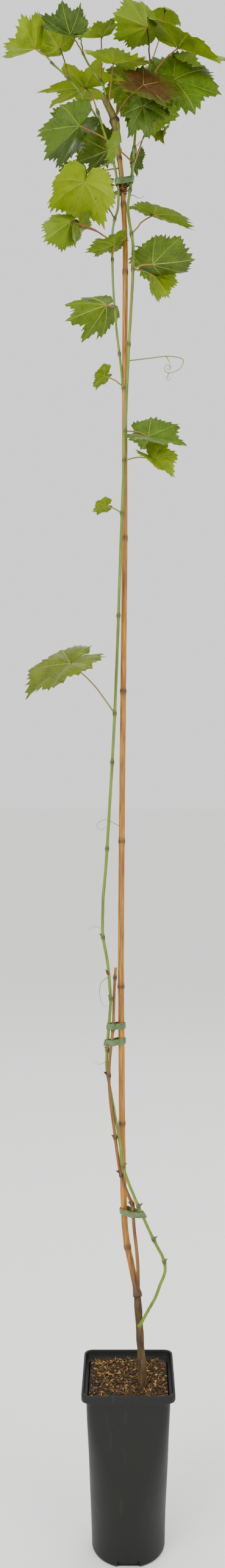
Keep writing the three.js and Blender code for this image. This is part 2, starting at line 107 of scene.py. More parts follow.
def makeStage():
    floorReach = 45.0  # far enough that the floor meets the light from every side
    mesh = bmesh.new()
    bmesh.ops.create_circle(mesh, cap_ends=True, segments=64, radius=floorReach)
    bmesh.ops.recalc_face_normals(mesh, faces=mesh.faces)
    if mesh.faces[:][0].normal.z < 0:
        bmesh.ops.reverse_faces(mesh, faces=mesh.faces)
    data = bpy.data.meshes.new("floor")
    mesh.to_mesh(data)
    mesh.free()
    floor = bpy.data.objects.new("floor", data)
    material, tree, surface = newMaterial("pale matt floor")
    setNode(tree, surface, {"Base Color": hexColour("#f6f6f4"), "Roughness": 0.9})
    data.materials.append(material)
    scene.collection.objects.link(floor)

    world = bpy.data.worlds.new("studio")
    world.use_nodes = True
    setNode(world.node_tree, world.node_tree.nodes["Background"], {"Color": (1, 1, 1, 1), "Strength": 1.25})
    scene.world = world
    # name, place, size in metres, power in watts
    lamps = [
        ("key", (-1.6, -2.0, 2.9), 1.6, 62.0),
        ("fill", (1.9, -1.9, 1.7), 1.8, 26.0),
        ("low", (-0.9, -1.9, 0.5), 1.2, 12.0),
        ("back", (0.6, 1.7, 2.7), 1.5, 34.0),
    ]
    for name, place, size, power in lamps:
        lamp = bpy.data.objects.new(name, bpy.data.lights.new(name, "AREA"))
        lamp.data.size = size
        lamp.data.energy = power
        lamp.location = place
        lamp.visible_camera = False
        aim = Vector((0, 0, 1.3)) - Vector(place)
        lamp.rotation_euler = aim.to_track_quat("-Z", "Y").to_euler()
        scene.collection.objects.link(lamp)


makeStage()
print("stage ready")


def finishPiece(name, mesh, materials, nodes):
    data = bpy.data.meshes.new(name)
    mesh.to_mesh(data)
    mesh.free()
    for material in materials:
        data.materials.append(material)
    piece = bpy.data.objects.new(name, data)
    scene.collection.objects.link(piece)
    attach(piece, "root")
    if nodes:
        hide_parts(*nodes)
    return piece


def newLayers(mesh):
    # place: where on the leaf or along the stem a point lies; tint: its share of a second colour
    return mesh.verts.layers.float_vector.new("place"), mesh.verts.layers.float.new("tint")


def turnAlong(direction, before):
    # a frame whose z follows the line and whose x turns as little as it can from the last one
    z = direction.normalized()
    x = (before - z * before.dot(z)).normalized()
    return Matrix((x, z.cross(x), z)).transposed()


def sweepTube(mesh, line, radii, sides, tints, relief=None):
    # a ring carried along a line by extruding its edges; relief(station, turn) swells each point
    layers = mesh.verts.layers
    placeLayer, tintLayer = layers.float_vector["place"], layers.float["tint"]
    side = Vector((0.3, -1, 0.1)).normalized()
    ring = bmesh.ops.create_circle(mesh, segments=sides, radius=1.0)["verts"]
    faces = []
    travelled = 0.0
    for station, point in enumerate(line):
        ahead = line[min(station + 1, len(line) - 1)] - line[max(station - 1, 0)]
        turn = turnAlong(ahead, side)
        side = turn.col[0].copy()
        if station:
            edges = [ring[i].link_edges for i in range(sides)]
            loop = [next(e for e in edges[i] if e.other_vert(ring[i]) == ring[(i + 1) % sides])
                    for i in range(sides)]
            made = bmesh.ops.extrude_edge_only(mesh, edges=loop)["geom"]
            faces += [f for f in made if isinstance(f, bmesh.types.BMFace)]
            fresh = {v for v in made if isinstance(v, bmesh.types.BMVert)}
            ring = [next(e.other_vert(v) for e in v.link_edges if e.other_vert(v) in fresh) for v in ring]
            travelled += (point - line[station - 1]).length
        for i, vert in enumerate(ring):
            angle = i / sides * 2 * math.pi
            reach = radii[station] * (relief(station, angle) if relief else 1.0)
            vert.co = point + turn @ Vector((math.cos(angle) * reach, math.sin(angle) * reach, 0))
            vert[placeLayer] = Vector((angle / (2 * math.pi), travelled, 0))
            vert[tintLayer] = tints[station]
        if station in (0, len(line) - 1):
            faces.append(mesh.faces.new(ring if station else list(reversed(ring))))
    for face in faces:
        face.smooth = len(face.verts) < 5
    bmesh.ops.recalc_face_normals(mesh, faces=faces)


def smoothLine(points, count):
    # evenly spaced points on a Catmull-Rom curve through the given ones
    pts = [points[0] * 2 - points[1], *points, points[-1] * 2 - points[-2]]
    dense = []
    for a, b, c, d in zip(pts, pts[1:], pts[2:], pts[3:]):
        for step in range(12):
            t = step / 12
            dense.append(0.5 * (2 * b + (c - a) * t + (2 * a - 5 * b + 4 * c - d) * t * t
                                + (3 * b - a - 3 * c + d) * t * t * t))
    dense.append(points[-1].copy())
    lengths = [0.0]
    for a, b in zip(dense, dense[1:]):
        lengths.append(lengths[-1] + (b - a).length)
    out, at = [], 0
    for step in range(count):
        want = lengths[-1] * step / (count - 1)
        while at < len(dense) - 2 and lengths[at + 1] < want:
            at += 1
        gap = lengths[at + 1] - lengths[at]
        out.append(dense[at].lerp(dense[at + 1], (want - lengths[at]) / gap if gap > 0 else 0))
    return out


def sliceCentres(node, count):
    # centres of level slices through a CAD limb, from its foot to its tip
    mesh = bmesh.new()
    mesh.from_mesh(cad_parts[node].data)
    bmesh.ops.remove_doubles(mesh, verts=mesh.verts, dist=1e-6)
    low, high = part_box(node)
    centres = []
    for step in range(count):
        height = low.z + (high.z - low.z) * (0.5 + step) / count
        cut = bmesh.ops.bisect_plane(mesh, geom=mesh.verts[:] + mesh.edges[:] + mesh.faces[:],
                                     plane_co=(0, 0, height), plane_no=(0, 0, 1))
        level = [v for v in mesh.verts if abs(v.co.z - height) < 1e-6]
        xs, ys = [v.co.x for v in level], [v.co.y for v in level]
        centres.append(Vector(((min(xs) + max(xs)) / 2, (min(ys) + max(ys)) / 2, height)))
    mesh.free()
    return centres


# slices: level cuts through the CAD limb; foot and tip: radii in millimetres; nodes: their heights in millimetres
stems = {
    "trunk": {"slices": 10, "foot": 5.3, "tip": 4.8, "sides": 36, "stations": 110, "finish": "bark"},
    "main_cane": {"slices": 60, "foot": 4.4, "tip": 3.4, "sides": 20, "stations": 420, "finish": "cane",
                  "nodes": [395, 560, 745, 940, 1140, 1345, 1545, 1700, 1790, 1852, 1896]},
    "pruned_stub": {"slices": 6, "foot": 4.6, "tip": 4.3, "sides": 28, "stations": 40, "finish": "stub",
                    "nodes": [1903]},
    "ripe_shoot": {"slices": 26, "foot": 2.5, "tip": 1.9, "sides": 12, "stations": 200, "finish": "ripe",
                   "nodes": [458, 496, 546, 628, 689, 758]},
    "green_shoot": {"slices": 90, "foot": 2.1, "tip": 2.0, "sides": 12, "stations": 620, "finish": "shoot",
                    "nodes": [385, 414, 457, 509, 661, 731, 812, 930, 1045, 1110, 1240, 1376, 1446, 1485, 1600,
                              1700, 1747, 1806]},
    "right_shoot": {"slices": 16, "foot": 2.1, "tip": 1.4, "sides": 12, "stations": 90, "finish": "shoot",
                    "nodes": [1843, 1862, 1903, 1930, 1948, 1976]},
    "left_shoot": {"slices": 26, "foot": 1.6, "tip": 1.7, "sides": 12, "stations": 170, "finish": "shoot",
                   "nodes": [1590, 1650, 1714, 1738, 1768, 1846, 1873, 1911]},
    "top_left_shoot": {"slices": 10, "foot": 1.9, "tip": 1.3, "sides": 12, "stations": 60, "finish": "shoot",
                       "nodes": [1956, 1992]},
    "far_left_shoot": {"slices": 10, "foot": 1.6, "tip": 1.2, "sides": 12, "stations": 70, "finish": "shoot",
                       "nodes": [1930, 1954, 1970]},
}
growsFrom = {"main_cane": "trunk", "pruned_stub": "main_cane", "ripe_shoot": "trunk", "green_shoot": "trunk",
             "right_shoot": "green_shoot", "left_shoot": "main_cane", "top_left_shoot": "pruned_stub",
             "far_left_shoot": "left_shoot"}
stemSkins = {
    "bark": {"rough": 0.2, "ridges": 7, "slot": "bark"},
    "stub": {"rough": 0.12, "ridges": 6, "slot": "bark"},
    "cane": {"rough": 0.035, "ridges": 9, "slot": "ripe_cane"},
    "ripe": {"rough": 0.05, "ridges": 7, "slot": "ripe_cane"},
    "shoot": {"rough": 0.05, "ridges": 5, "slot": "green_shoot"},
}
# lengths in millimetres, swells as shares of the radius
stemShape = {"nodeLong": 3.0, "thinSwell": 0.5, "thickSwell": 0.24, "thinBelow": 2.6, "collar": 0.45,
             "collarLong": 9, "oldWoodLong": 34, "crackDeep": 0.17}
centreLines = {name: sliceCentres(name, stem["slices"]) for name, stem in stems.items()}


def nearestOn(line, point):
    best, found = 1e9, None
    for a, b in zip(line, line[1:]):
        along = b - a
        share = min(1.0, max(0.0, (point - a).dot(along) / max(along.length_squared, 1e-12)))
        spot = a + along * share
        if (spot - point).length < best:
            best, found = (spot - point).length, spot
    return found


def rootOn(point):
    # the nearest spot on any stem
    return min((nearestOn(line, point) for line in centreLines.values()), key=lambda p: (p - point).length)


def stemEnds(name):
    # a limb's slices with its foot carried into its parent and its tip to the end of its solid
    line = list(centreLines[name])
    low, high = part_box(name)
    first = line[0] + (line[0] - line[1]).normalized() * (line[0].z - low.z)
    last = line[-1] + (line[-1] - line[-2]).normalized() * (high.z - line[-1].z)
    line = [first, *line, last]
    if name in growsFrom:
        parent = centreLines[growsFrom[name]]
        root = nearestOn(parent, first - Vector((0, 0, 3 * mm)))
        if (root - first).length > 0.5 * mm:
            line.insert(0, root)
    return line


def nodeShade(height, nodes):
    return max([math.exp(-((height - n * mm) / (stemShape["nodeLong"] * mm)) ** 2) for n in nodes] or [0.0])


def makeStems(finishes):
    for name, stem in stems.items():
        mesh = bmesh.new()
        newLayers(mesh)
        line = smoothLine(stemEnds(name), stem["stations"])
        count = len(line)
        nodes = stem.get("nodes", [])
        skin = stemSkins[stem["finish"]]
        radii, tints = [], []
        for station, point in enumerate(line):
            share = station / (count - 1)
            radius = stem["foot"] + (stem["tip"] - stem["foot"]) * share
            if name == "trunk":
                radius += 1.2 * math.exp(-share * 9)
            if name == "pruned_stub":
                radius += 1.3 * math.exp(-((share - 0.3) / 0.16) ** 2)
            if name in growsFrom and stem["finish"] in ("shoot", "cane", "ripe"):
                along = (point - line[0]).length / (stemShape["collarLong"] * mm)
                radius *= 1 + stemShape["collar"] * math.exp(-along ** 2)
            swell = nodeShade(point.z, nodes)
            bulge = stemShape["thinSwell" if radius < stemShape["thinBelow"] else "thickSwell"]
            radii.append(radius * (1 + bulge * swell) * mm)
            if stem["finish"] in ("cane", "ripe"):
                # old wood gives way to ripe cane over the first few centimetres
                along = (point - line[0]).length / (stemShape["oldWoodLong"] * mm)
                swell = max(swell, math.exp(-along ** 2))
            tints.append(swell)
        seed = dice.uniform(0, 40)

        def relief(station, angle, line=line, seed=seed, skin=skin, fissured=stem["finish"] == "bark"):
            height = line[station].z
            spot = Vector((math.cos(angle) * 1.6 + seed, math.sin(angle) * 1.6, height * 60))
            swell = 1 + skin["rough"] * noise.noise(spot)
            if fissured:
                crack = noise.noise(Vector((math.cos(angle) * 4, math.sin(angle) * 4, height * 42 + seed)))
                swell -= stemShape["crackDeep"] * smooth(0.5 - abs(crack) * 4)
            return swell + 0.25 * skin["rough"] * math.cos(angle * skin["ridges"] + seed)

        sweepTube(mesh, line, radii, stem["sides"], tints, relief)
        finishPiece(name + "_skin", mesh, [finishes[stem["finish"]]], [name])


lobeKeys = (0, 24, 48, 74, 100, 124, 148, 168, 180)  # degrees from the tip of the midrib
# puff: between the main veins; waver and ripple: over the blade and at its rim, as shares of its length
leafGrain = {"turns": 180, "rings": (0.0, 0.08, 0.18, 0.3, 0.43, 0.56, 0.68, 0.79, 0.88, 0.95, 1.0),
             "thick": 0.35, "teeth": (0.09, 0.045, 0.0, -0.045, -0.01), "size": 0.95, "puff": 0.035,
             "waver": 0.06, "ripple": 0.045, "veins": (0, 48, 100), "ribLift": 0.0035,
             "ribs": (0.62, 0.5, 0.4, 0.3, 0.22, 0.15, 0.08)}


def easeUp(share):
    return 0.7 * smooth(share) + 0.3 * share * share


def leafReach(degrees, lobing):
    reaches = (1.0, 0.88 - lobing, 0.93, 0.8 - lobing, 0.82, 0.75 - lobing / 2, 0.68, 0.42, 0.08)
    for i in range(8):
        low, high = lobeKeys[i], lobeKeys[i + 1]
        if degrees <= high:
            share = (degrees - low) / (high - low)
            if reaches[i] > reaches[i + 1]:
                return reaches[i + 1] + (reaches[i] - reaches[i + 1]) * easeUp(1 - share)
            return reaches[i] + (reaches[i + 1] - reaches[i]) * easeUp(share)
    return reaches[-1]


def bendLeaf(x, y, z, leaf):
    # the flat leaf folded along its midrib, curled at its sides and bent along its length
    fold, curl, bend = (math.radians(leaf[key] or 0.1) for key in ("fold", "curl", "bend"))
    side = abs(y)
    out = (math.sin(fold) - math.sin(fold - curl * side)) / curl
    lift = (math.cos(fold - curl * side) - math.cos(fold)) / curl + z
    along = math.sin(bend * x) * (1 / bend + lift)
    drop = math.cos(bend * x) * (1 / bend + lift) - 1 / bend
    chord = 2 * math.sin(bend / 2) / bend
    half = bend / 2
    return Vector(((along * math.cos(half) - drop * math.sin(half)) / chord,
                   math.copysign(out, y) / chord,
                   (along * math.sin(half) + drop * math.cos(half)) / chord))


def leafFrame(leaf):
    at, tip = leaf["at"], leaf["tip"]
    midrib = (tip - at).normalized()
    up = Vector((0, 0, 1))
    face = (up - midrib * midrib.z).normalized()
    face = Matrix.Rotation(math.radians(-leaf["roll"]), 3, midrib) @ face
    return at, (tip - at).length, midrib, face.cross(midrib), face


def onLeaf(x, y, z, leaf, axes):
    at, length, midrib, side, face = axes
    p = bendLeaf(x, y * leaf["wide"], z, leaf) * length
    return at + midrib * p.x + side * p.y + face * p.z


def makeBlade(leaf, veins, tintShare):
    mesh = bmesh.new()
    placeLayer, tintLayer = newLayers(mesh)
    axes = leafFrame(leaf)
    turns, rings, teeth = leafGrain["turns"], leafGrain["rings"], leafGrain["teeth"]
    seed = leaf["seed"]
    line = [mesh.verts.new((r, 0, 0)) for r in rings]
    edges = [mesh.edges.new(pair) for pair in zip(line, line[1:])]
    bmesh.ops.spin(mesh, geom=line + edges, cent=(0, 0, 0), axis=(0, 0, 1), angle=2 * math.pi,
                   steps=turns, use_merge=True)
    bmesh.ops.remove_doubles(mesh, verts=[v for v in mesh.verts if v.co.length < 1e-5], dist=1e-4)
    sheet = mesh.verts[:]
    for vert in sheet:
        out = math.hypot(vert.co.x, vert.co.y)
        angle = math.atan2(vert.co.y, vert.co.x)
        index = round(angle / (2 * math.pi) * turns) % turns
        degrees = abs(math.degrees(angle))
        reach = leafReach(degrees, leaf["lobing"])
        # coarse teeth with a finer one between, fading towards the stalk
        tooth = teeth[index % len(teeth)]
        tooth *= 0.45 + 1.7 * abs(noise.noise(Vector((index // len(teeth) * 3.7, seed, 0.5))))
        tooth *= smooth((172 - degrees) / 30)
        reach *= 1 + tooth * smooth((out - 0.55) / 0.45) + 0.06 * noise.noise(Vector((angle * 3, seed, 2)))
        reach *= leafGrain["size"]
        x, y = math.cos(angle) * reach * out, math.sin(angle) * reach * out
        nearVein = min(abs(degrees - vein) for vein in leafGrain["veins"])
        puff = smooth(nearVein / 22) * math.sin(out * math.pi) * leafGrain["puff"]
        waver = leafGrain["waver"] * out ** 2 * noise.noise(Vector((x * 2.4 + seed, y * 2.4, 5)))
        ripple = leafGrain["ripple"] * out ** 5 * noise.noise(Vector((angle * 5.5, seed + 9, 1)))
        vert[placeLayer] = Vector((x, y, seed))
        vert[tintLayer] = tintShare
        vert.co = onLeaf(x, y, puff + waver + ripple, leaf, axes)
    faces = mesh.faces[:]
    bmesh.ops.recalc_face_normals(mesh, faces=faces)
    upward = sum((f.normal * f.calc_area() for f in faces), Vector())
    if upward.dot(axes[4]) < 0:
        bmesh.ops.reverse_faces(mesh, faces=faces)
    for face in faces:
        face.smooth = True
        face.material_index = leaf["over"]
    known = set(mesh.faces)
    bmesh.ops.solidify(mesh, geom=faces, thickness=leafGrain["thick"] * mm)
    fresh = [f for f in mesh.faces if f not in known]
    for face in fresh:
        face.smooth = True
        face.material_index = 1 - leaf["over"]
    # main veins stand proud underneath
    ribSide = leafGrain["ribLift"] if leaf["over"] else -leafGrain["ribLift"]
    for degrees in (0, 48, -48, 100, -100):
        reach = leafReach(abs(degrees), leaf["lobing"]) * 0.93
        turn = math.radians(degrees)
        line = [onLeaf(math.cos(turn) * reach * s, math.sin(turn) * reach * s, ribSide, leaf, axes)
                for s in (0.0, 0.12, 0.3, 0.5, 0.7, 0.88, 1.0)]
        radii = [r * mm * axes[1] / 0.07 for r in leafGrain["ribs"]]
        sweepTube(veins, line, radii, 6, [leaf["stalk"] * (1 - s / 6) for s in range(7)])
    return mesh


stalks = {"radius": 1.12, "sides": 8, "stations": 26}


def makeStalk(mesh, foot, leaf):
    # a leaf stalk: swollen at its foot, bowed, and a little thinner where it meets the blade
    end = leaf["at"]
    root = rootOn(foot)
    if "via" in leaf:
        points = [root, leaf["via"], end]
    else:
        bow = (end - root).length
        middle = root.lerp(end, 0.5) + Vector((0, 0, 0.08 * bow))
        points = [root, middle, end]
    line = smoothLine(points, stalks["stations"])
    wander = dice.uniform(0, 50)
    for i in range(1, len(line) - 1):
        sway = math.sin(i / (len(line) - 1) * math.pi) * 1.2 * mm
        line[i] += Vector((noise.noise(Vector((i * 0.2, wander, 0))), 0, 0)) * sway
    radii = []
    for i in range(len(line)):
        share = i / (len(line) - 1)
        swell = 0.7 * math.exp(-(share / 0.05) ** 2) + 0.35 * math.exp(-((1 - share) / 0.04) ** 2)
        radii.append(stalks["radius"] * (1 - 0.2 * share + swell) * mm)
    tints = [min(1.0, max(0.0, leaf["stalk"] + 0.25 * (i / len(line) - 0.5))) for i in range(len(line))]
    sweepTube(mesh, line, radii, stalks["sides"], tints)


# at: where the stalk joins, tip: end of the midrib, angles in degrees; stalk: 0 green, 0.5 ochre, 1 red-brown
sprays = {
    "leaves_far_left": ((-105, -18, 1972), [
        ("pale", (-124, -25, 1985), (-162, -60, 1968), (-25, 30, -15, -35), 0.1, 0.95, 0.3)]),
    "leaves_top_left_back": ((-78, -6, 1954), [
        ("pale", (-92, 6, 2006), (-120, 0, 2046), (-75, -10, 60, 60), 0.18, 0.9, 0.75)]),
    "leaves_top_left_tip": ((-62, -2, 1995), [
        ("dark", (-76, -20, 2006), (-118, -17, 2036), (80, 35, -20, -35), 0.16, 0.85, 0.35),
        ("pale", (-65, 9, 2023), (-53, -9, 2030), (15, 40, -20, -30), 0.2, 0.9, 0.1)]),
    "leaves_top_inner": ((-36, 0, 1956), [
        ("pale", (-35, -14, 2008), (-66, -38, 1993), (14, 30, -10, -15), 0.15, 0.9, 0.65)]),
    "leaves_top_middle": ((30, -6, 1980), [
        ("green", (25, -50, 1992), (-20, -87, 1985), (-58, 35, -25, -25), 0.08, 0.78, 1.0),
        ("pale", (51, 45, 2079), (62, 75, 2066), (-10, -8, 55, 55), 0.08, 0.9, 0.6, (37, 32, 2016))]),
    "leaves_top_right": ((25, -5, 1950), [
        ("pale", (64, 0, 2001), (121, -31, 1958), (-10, 25, 33, 10), 0.04, 1.0, 0.45)]),
    "leaves_upper_middle": ((-26, -2, 1919), [
        ("pale", (-21, -16, 1967), (19, -51, 1953), (-10, 25, 50, -10), 0.08, 1.05, 0.55)]),
    "leaves_right": ((6, -7, 1838), [
        ("green", (60, 10, 1964), (127, 13, 1945), (-65, 15, 50, 5), 0.08, 1.05, 0.7)]),
    "leaves_bronze": ((-18, 0, 1906), [
        ("bronze", (18, -38, 1926), (74, -33, 1910), (-53, 8, 10, 2), 0.08, 1.0, 0.85),
        ("pale", (8, 30, 1969), (-24, 15, 1975), (30, -5, 50, 50), 0.06, 1.0, 0.85)]),
    "leaves_left_lobed": ((-41, -4, 1910), [
        ("pale", (-57, 51, 1976), (-118, 29, 1956), (-10, 20, 42, 15), 0.36, 0.9, 0.45)]),
    "leaves_lower_left": ((6, -7, 1843), [
        ("dark", (-64, -25, 1882), (-108, -40, 1830), (-68, 40, -25, 5), 0.08, 0.78, 0.5)]),
    "leaves_centre_left": ((-11, 0, 1857), [
        ("dark", (-28, 15, 1873), (-76, 10, 1853), (-40, 30, -5, -25), 0.25, 0.85, 0.3)]),
    "leaves_centre_front": ((-14, 0, 1880), [
        ("green", (-8, -36, 1852), (-19, -46, 1816), (-20, 30, -20, -20), 0.12, 0.72, 0.2)]),
    "leaves_centre_right": ((13, -5, 1903), [
        ("dark", (19, -21, 1911), (27, -36, 1857), (-50, -2, 30, 15), 0.24, 0.75, 0.4),
        ("green", (13, 6, 1930), (-2, 2, 1900), (-60, 30, -20, -20), 0.08, 0.9, 0.4),
        ("dark", (33, 12, 1930), (55, 4, 1911), (-64, -10, 60, 50), 0.1, 0.85, 0.7)]),
    "leaves_small_right": ((8, -7, 1862), [
        ("dark", (12, 14, 1864), (13, 24, 1843), (60, 10, 40, 30), 0.12, 1.0, 0.2)]),
    "leaves_pale_left": ((-20, -5, 1846), [
        ("pale", (-58, -36, 1802), (-76, 18, 1776), (-12, -10, 60, 5), 0.08, 1.1, 0.15)]),
    "leaves_pale_inner": ((-16, -6, 1768), [
        ("green", (-33, 16, 1799), (-43, -18, 1790), (0, 35, 0, -10), 0.1, 0.95, 0.7)]),
    "leaves_low_left": ((-21, -6, 1738), [
        ("green", (-77, -15, 1761), (-112, -28, 1728), (-88, 40, -15, -35), 0.03, 0.82, 0.75),
        ("green", (-66, 0, 1762), (-66, 29, 1760), (56, 10, 60, -18), 0.08, 1.0, 0.75)]),
    "leaves_under_left": ((-21, -6, 1714), [
        ("green", (-17, -17, 1730), (-56, -16, 1720), (3, 22, 50, -15), 0.03, 0.9, 0.4)]),
    "leaves_mid_right": ((4, -8, 1747), [
        ("green", (30, 5, 1781), (85, 26, 1771), (-20, 20, 40, 5), 0.05, 0.85, 0.55)]),
    "leaves_low_right": ((6, -8, 1700), [
        ("dark", (32, -20, 1704), (86, -46, 1698), (48, 40, -35, -15), 0.05, 0.88, 0.4),
        ("pale", (37, 15, 1703), (54, 8, 1673), (85, 40, -5, -25), 0.05, 1.0, 0.3)]),
    "leaves_cane_upper": ((-18, -5, 1650), [
        ("green", (-31, 0, 1655), (-84, -30, 1621), (-92, 42, -35, -25), 0.2, 0.9, 0.4)]),
    "leaves_cane_small": ((-7, -1, 1546), [
        ("pale", (-31, -6, 1560), (-47, -14, 1543), (-40, 20, 20, 10), 0.1, 0.9, 0.2)]),
    "leaves_cane_right": ((-4, -9, 1485), [
        ("green", (24, -12, 1479), (72, -22, 1463), (-45, 25, 20, 10), 0.08, 0.85, 0.35),
        ("green", (26, 22, 1486), (44, 56, 1475), (10, 20, 20, 10), 0.08, 0.9, 0.35)]),
    "leaves_cane_middle": ((-5, -9, 1446), [
        ("pale", (34, -10, 1450), (62, -18, 1424), (-50, 30, -10, 10), 0.1, 0.9, 0.3)]),
    "leaves_cane_lower": ((-8, -8, 1376), [
        ("pale", (-30, -10, 1386), (-47, -14, 1378), (-40, 20, 20, 10), 0.1, 0.9, 0.2)]),
    "leaves_hanging": ((-17, -6, 1110), [
        ("scorched", (-77, -10, 1177), (-134, -22, 1131), (25, 18, 42, 22), 0.04, 0.85, 0.25)]),
    "leaves_back_right": ((21, -4, 1930), [
        ("green", (65, 62, 2006), (101, 102, 1996), (0, 20, 30, 15), 0.06, 0.95, 0.5)]),
    "leaves_back_top": ((29, -6, 1970), [
        ("pale", (8, 62, 1996), (-8, 112, 1978), (10, 20, 30, 15), 0.1, 0.95, 0.4)]),
    "leaves_back_left": ((-55, 4, 1930), [
        ("green", (-74, 58, 1925), (-98, 98, 1902), (-10, 25, 30, 20), 0.08, 0.9, 0.6)]),
    "leaves_back_centre": ((18, -4, 1921), [
        ("green", (26, 64, 1966), (38, 114, 1944), (5, 20, 30, 15), 0.06, 1.0, 0.4)]),
    "leaves_back_low": ((-9, 0, 1840), [
        ("dark", (-62, 58, 1850), (-82, 100, 1822), (-10, 25, 30, 15), 0.08, 0.95, 0.5)]),
    "leaves_back_low_right": ((7, -8, 1732), [
        ("green", (36, 52, 1742), (58, 92, 1722), (10, 20, 30, 15), 0.06, 0.95, 0.5)]),
}


turnedOver = ("leaves_lower_left",)  # shows its upper side where the others show the lower
# how light a leaf is among those of its tint: 0 deep, 1 light
shades = {"leaves_right": 0.55, "leaves_top_right": 0.5, "leaves_lower_left": 1.0, "leaves_pale_left": 1.0,
          "leaves_top_middle": 1.0, "leaves_far_left": 0.7, "leaves_centre_left": 0.4, "leaves_left_lobed": 0.9,
          "leaves_upper_middle": 0.8, "leaves_mid_right": 0.9, "leaves_low_left": 1.0, "leaves_cane_right": 0.3,
          "leaves_top_left_tip": 0.5, "leaves_hanging": 0.4}


def readSpray(name):
    # a spray's leaves, shifted so that their plain outlines fill the box of the mass they stand for
    foot, rows = sprays[name]
    leaves = []
    for tint, at, tip, (roll, fold, curl, bend), lobing, wide, stalk, *via in rows:
        leaf = {"tint": tint, "at": Vector(at) * mm, "tip": Vector(tip) * mm, "roll": roll, "fold": fold,
                "curl": curl, "bend": bend, "lobing": lobing, "wide": wide, "stalk": stalk,
                "seed": dice.uniform(0, 90), "over": int(name in turnedOver)}
        if via:
            leaf["via"] = Vector(via[0]) * mm
        leaves.append(leaf)
    foot = Vector(foot) * mm
    spots = [foot]
    for leaf in leaves:
        axes = leafFrame(leaf)
        for degrees in (0, 24, 48, 74, 100, 140, 180, -24, -48, -74, -100, -140):
            reach = leafReach(abs(degrees), leaf["lobing"])
            turn = math.radians(degrees)
            spots.append(onLeaf(math.cos(turn) * reach, math.sin(turn) * reach, 0, leaf, axes))
    low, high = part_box(name)
    shift = Vector([(low[i] + high[i] - min(p[i] for p in spots) - max(p[i] for p in spots)) / 2
                    for i in range(3)])
    mostShift = 6 * mm
    if shift.length > mostShift:
        shift *= mostShift / shift.length
    for leaf in leaves:
        leaf["at"] += shift
        leaf["tip"] += shift
    return foot, leaves


# a dried leaf hanging in the crown
driedLeaf = {"at": Vector((47, -11, 1880)) * mm, "tip": Vector((48, -13, 1864)) * mm, "roll": -70, "fold": 60,
             "curl": 95, "bend": 70, "lobing": 0.1, "wide": 1.0, "stalk": 0.8, "seed": 4.0, "over": 0}


def joinBlade(heap, blade):
    joined = bpy.data.meshes.new("blade")
    blade.to_mesh(joined)
    blade.free()
    heap.from_mesh(joined)
    bpy.data.meshes.remove(joined)


def makeLeaves(finishes):
    heaps = {}
    veins, stalkMesh = bmesh.new(), bmesh.new()
    newLayers(veins)
    newLayers(stalkMesh)
    for name in sprays:
        foot, leaves = readSpray(name)
        for leaf in leaves:
            if leaf["tint"] not in heaps:
                heaps[leaf["tint"]] = (bmesh.new(), [])
                newLayers(heaps[leaf["tint"]][0])
            mesh, nodes = heaps[leaf["tint"]]
            if name not in nodes:
                nodes.append(name)
            shade = dice.uniform(0.0, 1.0)
            joinBlade(mesh, makeBlade(leaf, veins, shades.get(name, shade)))
            makeStalk(stalkMesh, foot, leaf)
    joinBlade(heaps["scorched"][0], makeBlade(driedLeaf, veins, 0.9))
    for tint, (mesh, nodes) in heaps.items():
        print(tint, "leaves:", sum(len(f.verts) - 2 for f in mesh.faces), "triangles")
        finishPiece("blades_" + tint, mesh, finishes[tint], nodes)
    finishPiece("leaf_veins", veins, [finishes["vein"]], [])
    finishPiece("leaf_stalks", stalkMesh, [finishes["stalk"]], [])


# millimetres; turns: steps round the wall
pot = {
    "height": 230, "mouth": 55, "rim": 61, "band": 10, "base": 48.5, "round": 4, "wall": 2, "floor": 2.5,
    "corner": 10, "squareFrom": 20, "notchWide": 28, "notchDeep": 7, "notchHigh": 6.5, "wave": 0.5, "turns": 160,
}


def squareReach(angle, half, corner):
    quarter = math.pi / 2
    turn = angle % quarter
    near = min(turn, quarter - turn)
    middle = half - corner
    if half * math.tan(near) <= middle:
        return half / math.cos(near)
    along = middle * (math.cos(near) + math.sin(near))
    return along + math.sqrt(max(0, along * along - 2 * middle * middle + corner * corner))


def squareUp(vert):
    # a round body turned square from the foot up to the mouth; the foot stays a circle
    radius = math.hypot(vert.co.x, vert.co.y) / mm
    if radius < 1e-4:
        return
    share = (vert.co.z / mm - pot["squareFrom"]) / (pot["height"] - pot["squareFrom"])
    corner = radius + min(0, pot["corner"] - radius) * smooth(share)
    reach = squareReach(math.atan2(vert.co.y, vert.co.x), radius, corner) / radius
    vert.co.x *= reach
    vert.co.y *= reach


def wallHalf(height):
    return pot["base"] + (pot["mouth"] - pot["base"]) * (height - pot["round"]) / (pot["height"] - pot["round"])


def spinProfile(mesh, profile, turns):
    line = [mesh.verts.new((r * mm, 0, z * mm)) for r, z in profile]
    edges = [mesh.edges.new(pair) for pair in zip(line, line[1:])]
    bmesh.ops.spin(mesh, geom=line + edges, cent=(0, 0, 0), axis=(0, 0, 1), angle=2 * math.pi, steps=turns,
                   use_merge=True)
    bmesh.ops.remove_doubles(mesh, verts=mesh.verts, dist=1e-6)


